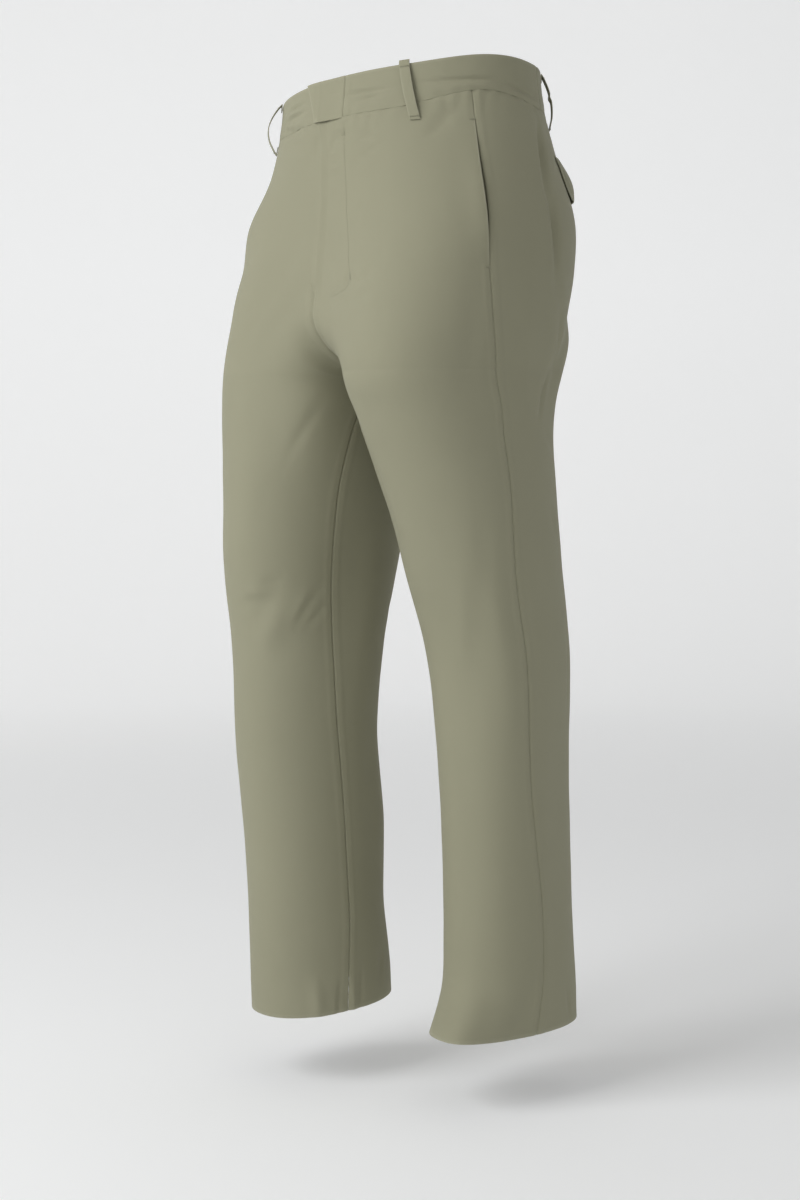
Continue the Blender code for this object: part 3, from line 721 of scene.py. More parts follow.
def hem_form(drop, run):
    from_stitch = drop - (HEM - HEM_DEPTH)
    pricks = 0.75 + 0.25 * np.sin(2 * np.pi * run / PRICK_PITCH)
    line = -HEM_LINE * pricks * np.exp(-((from_stitch / HEM_LINE_WIDTH) ** 2))
    return line + HEM_STEP * ease(from_stitch / 0.004)


def waist_form(drop, run):
    below = drop - BAND_DEPTH
    tucked = -0.0012 * ease(-below / 0.0012) - 0.0010 * ease(-below / TUCK)
    drawn = 0.6 + 0.4 * np.sin(2 * np.pi * run / 0.093 + 1.7 * np.sin(17 * run))
    groove = -WAIST_GROOVE * drawn * np.exp(-((below / WAIST_GROOVE_WIDTH) ** 2))
    drift = 2.1 * np.sin(29 * run) + 1.3 * np.sin(61 * run + 2)
    wander = np.sin(2 * np.pi * run / WAIST_PUCKER_PITCH + drift)
    pucker = WAIST_PUCKER * wander * np.exp(-((below / WAIST_PUCKER_REACH) ** 2))
    return tucked + groove + pucker


def spread(drop, start, end, shares):
    eased = (1 - np.cos(np.linspace(0, np.pi, 600))) / 2
    angles = start + (end - start) * eased
    x, y = level_point(drop, angles)
    length = np.concatenate(([0], np.cumsum(np.hypot(np.diff(x), np.diff(y)))))
    stops = shares * length[-1]
    return np.interp(stops, length, angles), stops, length[-1] - stops


# %% One row of a front panel
LAP = 0.0026
FLY_STEP = 0.0019
FLY_TURNING = 0.010
MOUTH_TURNING = 0.018
GAPE_REACH = 0.015
RUBBED_EDGE = 0.0016
RUBBED_HEM = 0.0022


def front_row(side, level, across):
    drop = LEVELS[round(level * (len(LEVELS) - 1))]
    shares = crowd(across)
    seam = float(read(SEAMS[side], "side_seam", drop))
    sunk = POCKET_SUNK * bump(drop, POCKET_TOP, POCKET_BOTTOM)
    if drop < CROTCH:
        lap = LAP * fly_part(drop) if side == LEFT else 0
        near, far = -lap, float(girth_of(drop, LEFT, seam)) - sunk
        reach = near + (far - near) * (shares if side == LEFT else 1 - shares)
        from_middle, from_side = reach, far - reach
        girths = reach if side == LEFT else whole_girth(drop) - reach
        by_left, angle = tape_place(drop, girths)
    else:
        middle = float(read(SEAMS[side], "inseam", drop))
        ends = (middle, seam) if side == LEFT else (seam, middle)
        angle, first, last = spread(drop, ends[0], ends[1], shares)
        from_middle, from_side = (first, last) if side == LEFT else (last, first)
        by_left = side == LEFT
    opened = mouth(drop)
    gape = bump(drop, POCKET_TOP - 0.001, POCKET_BOTTOM + 0.008)
    pressed = 0.15 + 0.85 * ease((drop - POCKET_TOP) / 0.004)
    centre = seam_form(from_middle, drop, CENTRE_SEAM_DEPTH) * (1 - fly_part(drop))
    lift = seam_form(from_side, drop) * (1 - opened) * pressed + centre
    lift = lift + POCKET_GAPE * gape * np.exp(-((from_side / GAPE_REACH) ** 2))
    double = opened * ease((MOUTH_TURNING - from_side) / 0.003)
    wear = opened * np.exp(-((from_side / RUBBED_EDGE) ** 2))
    if drop < CROTCH:
        if side == LEFT:
            lift = lift + FLY_STEP * fly_part(drop) * (1 - ease((from_middle - 0.003) / 0.012))
            turned = fly_part(drop) * ease((FLY_TURNING - from_middle) / 0.003)
            double = np.maximum(double, turned)
        lift = lift + waist_form(drop, girths)
        drops = hip_drop(by_left, angle, drop)
    else:
        lift = lift + hem_form(drop, from_side)
        double = np.maximum(double, ease((drop - HEM + HEM_DEPTH) / 0.004))
        wear = wear + np.exp(-(((HEM - drop) / RUBBED_HEM) ** 2))
        drops = drop
    return dict(
        by_left=by_left, drop=drops, angle=angle, lift=lift, length=drop, wear=wear, double=double
    )


# %% Cut and lay the front panels
CLOTHS = {}


def panel(name, row, side):
    piece = cut_sheet(f"{name}_{SIDE_NAMES[side]}_cloth", PANEL_ACROSS, len(LEVELS) - 1)
    double = lay(piece, lambda level, across: row(side, level, across))
    give_thickness(piece, CLOTH, double)
    CLOTHS[f"{name}_{SIDE_NAMES[side]}"] = piece


panel("front", front_row, LEFT)
panel("front", front_row, RIGHT)


# %% One row of a back panel
OTHER_PUCKERS = 0.3
CENTRE_PUCKERS = 0.7


def back_row(side, level, across):
    drop = LEVELS[round(level * (len(LEVELS) - 1))]
    shares = crowd(across)
    seam = float(read(SEAMS[side], "side_seam", drop))
    if drop < CROTCH:
        near = float(girth_of(drop, LEFT, seam))
        far = whole_girth(drop) / 2
        reach = near + (far - near) * (shares if side == LEFT else 1 - shares)
        from_side, from_middle = reach - near, far - reach
        girths = reach if side == LEFT else whole_girth(drop) - reach
        by_left, angle = tape_place(drop, girths)
        extra = waist_form(drop, girths)
        drops = hip_drop(by_left, angle, drop)
    else:
        middle = 360 + float(read(SEAMS[side], "inseam", drop))
        ends = (seam, middle) if side == LEFT else (middle, seam)
        angle, first, last = spread(drop, ends[0], ends[1], shares)
        from_side, from_middle = (first, last) if side == LEFT else (last, first)
        by_left = side == LEFT
        extra = hem_form(drop, from_side)
        drops = drop
    lift = seam_form(from_side, drop + OTHER_PUCKERS) + seam_form(from_middle, drop + CENTRE_PUCKERS)
    lift = lift + extra
    double = ease((drop - HEM + HEM_DEPTH) / 0.004)
    wear = np.exp(-(((HEM - drop) / RUBBED_HEM) ** 2))
    return dict(
        by_left=by_left, drop=drops, angle=angle, lift=lift, length=drop, wear=wear, double=double
    )


panel("back", back_row, LEFT)
panel("back", back_row, RIGHT)

# %% [markdown]
# ## The waistband
#
# The band is a folded strip with a stiffener, sewn on over the panels in three lengths, and it stands a
# little proud of them. Each length is a sheet whose top edge is rounded where the cloth turns over and
# whose lower edge is rolled into the seam.

# %% A length of waistband
BAND_CLOTH = 0.0017
BAND_EDGE = 0.0005
BAND_DOWN = 30


def band_lift(down, girths):
    lower = -0.0007 * np.exp(-(((1 - down) * BAND_DEPTH / 0.0045) ** 2))
    upper = -0.0005 * np.exp(-((down * BAND_DEPTH / 0.0011) ** 2))
    ply = 0.00024 * np.sin(2 * np.pi * girths / 0.021 + 3 * np.sin(31 * girths)) * down**3
    return BAND_PROUD + lower + upper + ply


def band_length(name, ends, across, end_form):
    def row(level, shares):
        start, stop = ends(BAND_DEPTH * level)
        girths = start + (stop - start) * crowd(shares, 0.45)
        by_left, angle = tape_place(BAND_DEPTH * level, girths)
        return dict(
            by_left=by_left,
            drop=band_drop(by_left, angle, level),
            angle=angle,
            lift=band_lift(level, girths) + end_form(girths - start, stop - girths),
            length=BAND_DEPTH * level,
            wear=np.exp(-((BAND_DEPTH * level / 0.0018) ** 2)),
        )

    piece = cut_sheet(name + "_cloth", across, BAND_DOWN)
    lay(piece, row)
    give_thickness(piece, BAND_CLOTH, edge=BAND_EDGE)
    CLOTHS[name] = piece


def joined_ends(from_start, from_stop):
    start = seam_form(from_start, from_start, BAND_SEAM_DEPTH)
    return start + seam_form(from_stop, from_stop, BAND_SEAM_DEPTH)


def tucked_end(from_start, from_stop):
    start = seam_form(from_start, from_start, BAND_SEAM_DEPTH)
    return start - 0.0020 * ease((0.036 - from_stop) / 0.012)


# %% Lay the band round the waist
def left_ends(drop):
    return TAB_SEAM, float(girth_of(drop, LEFT, BAND_JOIN))


def back_ends(drop):
    return float(girth_of(drop, LEFT, BAND_JOIN)), float(girth_of(drop, RIGHT, BAND_JOIN))


def right_ends(drop):
    return float(girth_of(drop, RIGHT, BAND_JOIN)), whole_girth(drop) + TAB_SEAM - 0.009


band_length("waistband_left", left_ends, 150, joined_ends)
band_length("waistband_back", back_ends, 220, joined_ends)
band_length("waistband_right", right_ends, 200, tucked_end)

# %% [markdown]
# ## The tab
#
# At the centre front the left length ends in a tab that laps over the right one. Its free end is cut at
# a slant, and its other end slopes down to its own upright seam. It is the same kind of sheet, raised by
# the thickness of the band it lies on.

# %% Lay the tab over the band
TAB_LIFT = 0.0046
TAB_CLOTH = 0.0019
TAB_EDGE = 0.0006


def tab_row(level, shares):
    overlap = TAB_OVERLAP_TOP + (TAB_OVERLAP_FOOT - TAB_OVERLAP_TOP) * level
    girths = -overlap + (TAB_SEAM + overlap) * crowd(shares, 0.4)
    by_left, angle = tape_place(BAND_DEPTH * level, girths)
    raised = TAB_LIFT * (1 - ease((girths + 0.012) / (TAB_SEAM + 0.004)))
    raised = raised + 0.0007 * level**4 * (1 - ease((girths - 0.020) / 0.016))
    joined = -0.0007 * np.exp(-(((TAB_SEAM - girths) / 0.0012) ** 2))
    free_end = -0.0002 * np.exp(-(((girths + overlap) / 0.0012) ** 2))
    near_end = np.exp(-(((girths + overlap) / 0.0018) ** 2))
    return dict(
        by_left=by_left,
        drop=band_drop(by_left, angle, level) + 0.0012 * level,
        angle=angle,
        lift=BAND_PROUD + raised + joined + free_end,
        length=BAND_DEPTH * level,
        wear=np.maximum(near_end, np.exp(-((BAND_DEPTH * level / 0.0018) ** 2))),
    )


tab = cut_sheet("waistband_tab_cloth", 46, 34)
lay(tab, tab_row)
give_thickness(tab, TAB_CLOTH, edge=TAB_EDGE)
CLOTHS["waistband_tab"] = tab

# %% [markdown]
# ## What shows behind the openings
#
# Behind the fly hangs a shield, and behind each pocket's mouth a strip of the same cloth, so that the
# open mouth shows cloth and not the inside of the leg. They are plain sheets a little behind the panels.

# %% The fly's shield and the pockets' facings
BEHIND = -0.0021
SHIELD_WIDTH = 0.034
SHIELD_PAST = 0.012
FACING_AHEAD = 0.024
FACING_BEHIND = 0.010


def plain_row(drop, girths, lift):
    by_left, angle = tape_place(drop, girths)
    return dict(by_left=by_left, drop=drop, angle=angle, lift=lift, length=drop)


def shield_row(level, shares):
    drop = BAND_DEPTH + 0.001 + (FLY_BOTTOM - 0.006 - BAND_DEPTH - 0.001) * level
    return plain_row(drop, -SHIELD_PAST + (SHIELD_WIDTH + SHIELD_PAST) * shares, BEHIND)


shield = cut_sheet("fly_shield_cloth", 24, 60)
lay(shield, shield_row)
give_thickness(shield, CLOTH)
CLOTHS["fly_shield"] = shield


def facing_row(side, level, shares):
    drop = POCKET_TOP - 0.012 + (POCKET_BOTTOM - POCKET_TOP + 0.018) * level
    seam = float(girth_of(drop, side, read(SEAMS[side], "side_seam", drop)))
    start = seam - FACING_AHEAD if side == LEFT else seam - FACING_BEHIND
    girths = start + (FACING_AHEAD + FACING_BEHIND) * shares
    hollow = -0.0012 * bump(drop, POCKET_TOP, POCKET_BOTTOM)
    return plain_row(drop, girths, BEHIND + hollow)


def facing(side):
    name = f"pocket_facing_{SIDE_NAMES[side]}"
    piece = cut_sheet(name + "_cloth", 24, 70)
    lay(piece, lambda level, shares: facing_row(side, level, shares))
    give_thickness(piece, CLOTH)
    CLOTHS[name] = piece


facing(LEFT)
facing(RIGHT)

# %% [markdown]
# ## Belt loops
#
# A loop is a folded strip with both ends turned under and tacked down. The path of the strip is drawn
# from the side: up behind, over the top, down the bowed run, round and up behind again. Sweeping a
# profile along a curve would do the same, but a sheet keeps the loop's grain and its declared cut.

# %% The path of a loop's strip
LOOP_WIDTH = 0.011
LOOP_FOOT = 0.057
LOOP_CLOTH = 0.0008
LOOP_EDGE = 0.0003
LOOP_STAND = 0.0019
LOOP_COLUMNS = ("name", "side", "angle_top", "angle_foot", "bow", "top")
LOOP_ROWS = (
    ("belt_loop_front_left", LEFT, -50.5, -46.5, 0.0028, -0.0040),
    ("belt_loop_front_right", RIGHT, -48, -48, 0.0125, -0.0015),
    ("belt_loop_side_left", LEFT, 43, 45, 0.0085, -0.0015),
    ("belt_loop_side_right", RIGHT, 43, 45, 0.0060, -0.0015),
    ("belt_loop_back", LEFT, 90, 90, 0.0028, -0.0020),
)


def loop_path(bow, top):
    run = np.linspace(0, 1, 41)
    drops = top + 0.0012 + (LOOP_FOOT - top - 0.0024) * run
    on_band = BAND_PROUD * (1 - ease((drops - BAND_DEPTH - 0.002) / 0.006))
    lifts = LOOP_STAND + on_band + bow * np.sin(np.pi * run) ** 0.8
    before = ((top + 0.009, 0.0009), (top + 0.0012, 0.0009), (top + 0.0002, 0.0013))
    after = ((LOOP_FOOT - 0.0002, 0.0013), (LOOP_FOOT - 0.0012, 0.0006), (LOOP_FOOT - 0.009, 0.0006))
    middle = np.stack((drops, lifts), -1)
    before = np.array(before) + (0, BAND_PROUD)
    path = np.concatenate((before, middle, np.array(after)))
    steps = np.linalg.norm(np.diff(path, axis=0), axis=1)
    return path, np.concatenate(([0], np.cumsum(steps)))


# %% Make the five loops
def loop_girth(loop, drop):
    angle = loop["angle_top"] + (loop["angle_foot"] - loop["angle_top"]) * drop / LOOP_FOOT
    return float(girth_of(drop, loop["side"], angle))


def loop_row(loop, level, shares):
    path, length = loop_path(loop["bow"], loop["top"])
    at = level * length[-1]
    drop = float(np.interp(at, length, path[:, 0]))
    lift = float(np.interp(at, length, path[:, 1]))
    on_form = max(drop, 0)
    girths = loop_girth(loop, on_form) + LOOP_WIDTH * (shares - 0.5)
    by_left, angle = tape_place(on_form, girths)
    held = 1 - ease(drop / 0.03)
    return dict(
        by_left=by_left,
        drop=drop - risen(EDGE_RISE, by_left, angle) * held,
        angle=angle,
        lift=lift - 0.00025 * (2 * shares - 1) ** 4,
        length=at,
        wear=np.abs(2 * shares - 1) ** 6,
    )


def belt_loop(loop):
    piece = cut_sheet(loop["name"] + "_cloth", 14, 96)
    lay(piece, lambda level, shares: loop_row(loop, level, shares))
    give_thickness(piece, LOOP_CLOTH, edge=LOOP_EDGE)
    CLOTHS[loop["name"]] = piece


LOOPS = [dict(zip(LOOP_COLUMNS, row)) for row in LOOP_ROWS]
for loop in LOOPS:
    belt_loop(loop)

# %% [markdown]
# ## Back pocket flaps
#
# Each back pocket is closed by a flap that is sewn along its top and stands off the seat below. It is a
# sheet whose lower rows get shorter, which rounds its corners.

# %% Lay the flaps
FLAP_TOP = 0.084
FLAP_DEPTH = 0.044
FLAP_INNER = 0.046
FLAP_OUTER = 0.176
FLAP_STAND = 0.0084
FLAP_CORNER = 0.011
FLAP_CLOTH = 0.0012
FLAP_EDGE = 0.00035
FLAP_INSET = 0.006


def flap_stand(down, share):
    return FLAP_STAND * math.sin(math.pi * 0.86 * down**1.2) * np.sin(np.pi * share) ** 0.7


def flap_row(side, level, shares):
    down = 1 - (1 - level) ** 1.35
    drop = FLAP_TOP + FLAP_DEPTH * down
    left_over = max(0, FLAP_CORNER - FLAP_DEPTH * (1 - down))
    short = FLAP_CORNER - math.sqrt(FLAP_CORNER**2 - left_over**2)
    inner, outer = FLAP_INNER + short, FLAP_OUTER - short
    places = crowd(shares, 0.5)
    along = places if side == RIGHT else 1 - places
    out = inner + (outer - inner) * along
    girths = whole_girth(drop) / 2 - side * out
    share = np.clip((out - FLAP_INNER) / (FLAP_OUTER - FLAP_INNER), 0, 1)
    sewn = -0.0022 * math.exp(-((down * FLAP_DEPTH / 0.0014) ** 2))
    from_edge = np.minimum(np.minimum(out - inner, outer - out), FLAP_DEPTH * (1 - down))
    stitched = -0.0003 * np.exp(-(((from_edge - FLAP_INSET) / 0.0011) ** 2))
    lift = CLOTH + FLAP_CLOTH + flap_stand(down, share) + sewn + stitched
    row = plain_row(drop, girths, lift)
    row["wear"] = np.exp(-((from_edge / RUBBED_EDGE) ** 2))
    return row


def pocket_flap(side):
    name = f"pocket_flap_{SIDE_NAMES[side]}"
    piece = cut_sheet(name + "_cloth", 96, 40)
    lay(piece, lambda level, shares: flap_row(side, level, shares))
    give_thickness(piece, FLAP_CLOTH, edge=FLAP_EDGE)
    CLOTHS[name] = piece


pocket_flap(LEFT)
pocket_flap(RIGHT)

# %% [markdown]
# ## Stitching
#
# Sewn thread shows as short grains of the same length, each pulled into the cloth at its ends. One grain
# is modelled from a small sphere and copied along each line, and the copies of a line are joined into
# one piece. Painting the stitches as a texture would be lighter, but they would have no relief.

# %% One grain of thread
bpy.ops.object.select_all(action="DESELECT")
bpy.ops.mesh.primitive_uv_sphere_add(segments=8, ring_count=6, radius=0.5)
grain = bpy.context.object
grain.name = "thread_grain"
bpy.ops.object.mode_set(mode="EDIT")
bpy.ops.mesh.select_all(action="SELECT")
bpy.ops.transform.resize(value=(1, 1, 1.15))
bpy.ops.mesh.faces_shade_smooth()
bpy.ops.object.mode_set(mode="OBJECT")


def grains(name, starts, ends, outs, thick):
    """Copies of the grain, each from its start to its end, with outs pointing out of the cloth."""
    shape = np.empty(len(grain.data.vertices) * 3)
    grain.data.vertices.foreach_get("co", shape)
    shape = shape.reshape(-1, 3)
    made = []
    for start, end, out in zip(starts, ends, outs):
        along = end - start
        size = np.linalg.norm(along)
        along = along / size
        out = out - along * np.dot(out, along)
        out = out / np.linalg.norm(out)
        side = np.cross(out, along)
        middle = (start + end) / 2 + out * thick * 0.12
        place = shape[:, 2:3] * along * size + shape[:, 0:1] * side * thick
        place = place + shape[:, 1:2] * out * thick * 0.8 + middle
        mesh = grain.data.copy()
        mesh.vertices.foreach_set("co", place.ravel())
        copy = bpy.data.objects.new(name, mesh)
        bpy.context.scene.collection.objects.link(copy)
        made.append(copy)
    bpy.ops.object.select_all(action="DESELECT")
    for copy in made:
        copy.select_set(True)
    bpy.context.view_layer.objects.active = made[0]
    bpy.ops.object.join()
    row = bpy.context.object
    row.name = name
    row.data.name = name
    bpy.ops.object.mode_set(mode="EDIT")
    bpy.ops.mesh.select_all(action="SELECT")
    bpy.ops.mesh.normals_make_consistent(inside=False)
    bpy.ops.object.mode_set(mode="OBJECT")
    print(name, len(made), "stitches")
    return row


# %% A line of stitches on the cloth
def surface(side, drops, angles, lift):
    points = skin(side, drops, angles, lift)
    return points, skin(side, drops, angles, lift + 0.001) - points


def stitch_line(name, side, path, pitch, length, thick):
    drops = np.array([row[0] for row in path])
    angles = np.array([row[1] for row in path])
    points, _ = surface(side, drops, angles, 0)
    run = np.concatenate(([0], np.cumsum(np.linalg.norm(np.diff(points, axis=0), axis=1))))
    at = np.arange(pitch / 2, run[-1] - length, pitch)
    ends = at + length
    starts, outs = surface(side, np.interp(at, run, drops), np.interp(at, run, angles), 0)
    stops, _ = surface(side, np.interp(ends, run, drops), np.interp(ends, run, angles), 0)
    return grains(name, starts, stops, outs, thick)


# %% The fly's curved stitching
FLY_PATH = (
    (0.046, -76.4),
    (0.056, -77.0),
    (0.097, -79.6),
    (0.138, -82.0),
    (0.172, -83.0),
    (0.200, -84.2),
    (0.208, -85.0),
    (0.2145, -86.4),
    (0.2195, -88.8),
    (0.2235, -92.5),
    (0.2255, -96.5),
    (0.2262, -99.5),
)
FLY_STITCH = 0.0021
FLY_STITCH_PITCH = 0.0026
FLY_THREAD = 0.00048
THREADS = [stitch_line("fly_stitching", LEFT, FLY_PATH, FLY_STITCH_PITCH, FLY_STITCH, FLY_THREAD)]


# %% [markdown]
# A bar tack is a short dense zigzag that holds the end of an opening. It is made of grains side by side
# and is used at the ends of the pockets, at the fly and across the belt loops.


# %% Bar tacks
TACK_THREAD = 0.00042
HIP_REACH = 0.17


def tack(name, side, drop, angle, width, height, count, lift, upright=False):
    reach = np.linspace(-0.5, 0.5, count)
    bend = math.degrees(1 / HIP_REACH)
    if upright:
        drops_from = drop + height * reach
        drops_to = drops_from + 0.0002
        angles_from = angle - bend * width / 2 + 0 * reach
        angles_to = angle + bend * width / 2 + 0 * reach
    else:
        angles_from = angle + bend * width * reach
        angles_to = angles_from + bend * 0.0002
        drops_from = drop - height / 2 + 0 * reach
        drops_to = drop + height / 2 + 0 * reach
    starts, outs = surface(side, drops_from, angles_from, lift)
    stops, _ = surface(side, drops_to, angles_to, lift)
    return grains(name, starts, stops, outs, TACK_THREAD)


for side in (LEFT, RIGHT):
    side_name = SIDE_NAMES[side]
    for end, drop in (("top", POCKET_TOP + 0.001), ("foot", POCKET_BOTTOM - 0.001)):
        angle = float(read(SEAMS[side], "side_seam", drop)) - 0.8
        name = f"pocket_tack_{end}_{side_name}"
        THREADS.append(tack(name, side, drop, angle, 0.0070, 0.0016, 16, 0.0004))
THREADS.append(tack("fly_tack", LEFT, 0.206, -84.2, 0.0016, 0.0075, 14, 0.0001, upright=True))


# %% Tacks across the belt loops
def loop_tack(loop, drop, lift, end):
    reach = np.linspace(-0.42, 0.42, 16) * LOOP_WIDTH
    middle = loop_girth(loop, drop)
    upper = tape_skin(drop - 0.0009, middle + reach, lift)
    lower = tape_skin(drop + 0.0009, middle + reach + 0.0002, lift)
    outs = tape_skin(drop, middle + reach, lift + 0.001) - tape_skin(drop, middle + reach, lift)
    return grains(f"{loop['name']}_tack_{end}", upper, lower, outs, TACK_THREAD)


for loop in LOOPS:
    path, _ = loop_path(loop["bow"], loop["top"])
    for end, drop in (("top", 0.0035), ("foot", LOOP_FOOT - 0.0035)):
        run = path[3:-3]
        lift = float(np.interp(drop, run[:, 0], run[:, 1]))
        THREADS.append(loop_tack(loop, drop, lift, end))

# %% [markdown]
# The hems are blind stitched: only small pricks of thread show, four centimetres above the edge and
# nearly the colour of the cloth. The flaps have a row of stitches near their free edges.


# %% Hem pricks
THREAD_SUNK = 0.0002
PRICK_STEP = 4.6
PRICK = 0.9
PRICK_THREAD = 0.00034


def hem_pricks(side):
    around = np.arange(-180, 180, PRICK_STEP)
    drops = HEM - HEM_DEPTH + 0 * around
    starts, outs = surface(side, drops, around, -THREAD_SUNK)
    stops, _ = surface(side, drops + 0.0001, around + PRICK, -THREAD_SUNK)
    return grains(f"hem_stitching_{SIDE_NAMES[side]}", starts, stops, outs, PRICK_THREAD)


THREADS.append(hem_pricks(LEFT))
THREADS.append(hem_pricks(RIGHT))


# %% Stitches round the flaps
FLAP_STITCH = 0.0023
FLAP_STITCH_PITCH = 0.0030
FLAP_THREAD = 0.00046


def flap_lift(side, out, drop):
    down = (drop - FLAP_TOP) / FLAP_DEPTH
    share = (out - FLAP_INNER) / (FLAP_OUTER - FLAP_INNER)
    return CLOTH + FLAP_CLOTH + flap_stand(down, share) - THREAD_SUNK


def flap_path():
    low = FLAP_TOP + FLAP_DEPTH - FLAP_INSET
    first, last = FLAP_INNER + FLAP_INSET, FLAP_OUTER - FLAP_INSET
    corner = FLAP_CORNER - FLAP_INSET
    turns = np.radians(np.linspace(15, 75, 5))
    path = [(first, drop) for drop in np.linspace(FLAP_TOP + 0.004, low - corner, 12)]
    for turn in turns:
        path.append((first + corner * (1 - math.cos(turn)), low - corner * (1 - math.sin(turn))))
    path += [(out, low) for out in np.linspace(first + corner, last - corner, 40)]
    for turn in turns[::-1]:
        path.append((last - corner * (1 - math.cos(turn)), low - corner * (1 - math.sin(turn))))
    path += [(last, drop) for drop in np.linspace(low - corner, FLAP_TOP + 0.004, 12)]
    return np.array(path)


def flap_stitches(side):
    path = flap_path()
    run = np.concatenate(([0], np.cumsum(np.linalg.norm(np.diff(path, axis=0), axis=1))))
    starts, stops, outs = [], [], []
    for at in np.arange(0.001, run[-1] - FLAP_STITCH_PITCH, FLAP_STITCH_PITCH):
        for places, offset in ((starts, 0), (stops, FLAP_STITCH)):
            out = float(np.interp(at + offset, run, path[:, 0]))
            drop = float(np.interp(at + offset, run, path[:, 1]))
            girth = np.array([whole_girth(drop) / 2 - side * out])
            lift = flap_lift(side, out, drop)
            places.append(tape_skin(drop, girth, lift)[0])
            if places is starts:
                outs.append(tape_skin(drop, girth, lift + 0.001)[0] - places[-1])
    return grains(f"flap_stitching_{SIDE_NAMES[side]}", starts, stops, outs, FLAP_THREAD)


THREADS.append(flap_stitches(LEFT))
THREADS.append(flap_stitches(RIGHT))
bpy.data.objects.remove(grain, do_unlink=True)

# %% [markdown]
# ## The cloth's finish
#
# The cloth is a fine matt twill: a soft grey green whose threads show only close up, with a faint bloom
# where light grazes it. The weave is worked out from the UV map in metres, as two sets of threads and the
# twill's slant, and goes into a Bump node. Slow noise varies the colour a little, and the wear attribute
# lightens edges that rub. An image would be quicker, but it would blur close up.

# %% Helpers for nodes
CLOTH_COLOUR = (0.292, 0.284, 0.198, 1)
CLOTH_SHADE = (0.255, 0.248, 0.168, 1)
WORN_COLOUR = (0.360, 0.352, 0.262, 1)
THREAD_COLOUR = (0.232, 0.227, 0.154, 1)
THREAD_PITCH = 0.00046


def math_node(tree, operation, first, second=None):
    node = tree.nodes.new("ShaderNodeMath")
    node.operation = operation
    for socket, value in zip(node.inputs, (first, second)):
        if isinstance(value, (int, float)):
            socket.default_value = value
        elif value is not None:
            tree.links.new(value, socket)
    return node.outputs[0]


def mix_colours(tree, share, first, second):
    node = tree.nodes.new("ShaderNodeMix")
    node.data_type = "RGBA"
    tree.links.new(share, node.inputs[0])
    for socket, value in ((node.inputs[6], first), (node.inputs[7], second)):
        if isinstance(value, tuple):
            socket.default_value = value
        else:
            tree.links.new(value, socket)
    return node.outputs[2]


def noise(tree, vector, scale, detail):
    node = tree.nodes.new("ShaderNodeTexNoise")
    node.inputs["Scale"].default_value = scale
    node.inputs["Detail"].default_value = detail
    tree.links.new(vector, node.inputs["Vector"])
    return node.outputs["Fac"]


# %% The cloth material
def cloth_material():
    material = bpy.data.materials.new("matt_twill")
    material.use_nodes = True
    tree = material.node_tree
    shader = tree.nodes["Principled BSDF"]
    places = tree.nodes.new("ShaderNodeTexCoord")
    parts = tree.nodes.new("ShaderNodeSeparateXYZ")
    tree.links.new(places.outputs["UV"], parts.inputs[0])
    turn = 2 * math.pi / THREAD_PITCH
    warp = math_node(tree, "SINE", math_node(tree, "MULTIPLY", parts.outputs[0], turn))
    weft = math_node(tree, "SINE", math_node(tree, "MULTIPLY", parts.outputs[1], turn))
    slanted = math_node(tree, "ADD", parts.outputs[0], parts.outputs[1])
    slant = math_node(tree, "SINE", math_node(tree, "MULTIPLY", slanted, turn / 2))
    crossing = math_node(tree, "MULTIPLY", warp, weft)
    weave = math_node(tree, "ADD", math_node(tree, "MULTIPLY", crossing, 0.35), slant)
    slubs = noise(tree, places.outputs["UV"], 900, 2)
    height = math_node(tree, "ADD", weave, math_node(tree, "MULTIPLY", slubs, 1.2))
    bumps = tree.nodes.new("ShaderNodeBump")
    bumps.inputs["Strength"].default_value = 0.5
    bumps.inputs["Distance"].default_value = 0.00006
    tree.links.new(height, bumps.inputs["Height"])
    slow = noise(tree, places.outputs["Object"], 7, 3)
    fine = noise(tree, places.outputs["UV"], 1700, 1)
    blotch = math_node(tree, "MULTIPLY", slow, 0.55)
    share = math_node(tree, "ADD", blotch, math_node(tree, "MULTIPLY", fine, 0.45))
    colour = mix_colours(tree, share, CLOTH_SHADE, CLOTH_COLOUR)
    worn = tree.nodes.new("ShaderNodeAttribute")
    worn.attribute_name = "wear"
    rubbed = math_node(tree, "MULTIPLY", worn.outputs["Fac"], 0.45)
    colour = mix_colours(tree, rubbed, colour, WORN_COLOUR)
    rough = math_node(tree, "ADD", math_node(tree, "MULTIPLY", slow, 0.10), 0.72)
    tree.links.new(colour, shader.inputs["Base Color"])
    tree.links.new(rough, shader.inputs["Roughness"])
    tree.links.new(bumps.outputs["Normal"], shader.inputs["Normal"])
    shader.inputs["Specular IOR Level"].default_value = 0.25
    shader.inputs["Sheen Weight"].default_value = 0.06
    shader.inputs["Sheen Roughness"].default_value = 0.5
    return material


def thread_material():
    material = bpy.data.materials.new("sewing_thread")
    material.use_nodes = True
    tree = material.node_tree
    shader = tree.nodes["Principled BSDF"]
    places = tree.nodes.new("ShaderNodeTexCoord")
    fuzz = noise(tree, places.outputs["Object"], 2600, 1)
    colour = mix_colours(tree, fuzz, THREAD_COLOUR, CLOTH_SHADE)
    bumps = tree.nodes.new("ShaderNodeBump")
    bumps.inputs["Strength"].default_value = 0.4
    bumps.inputs["Distance"].default_value = 0.00004
    tree.links.new(fuzz, bumps.inputs["Height"])
    tree.links.new(colour, shader.inputs["Base Color"])
    tree.links.new(bumps.outputs["Normal"], shader.inputs["Normal"])
    shader.inputs["Roughness"].default_value = 0.6
    return material


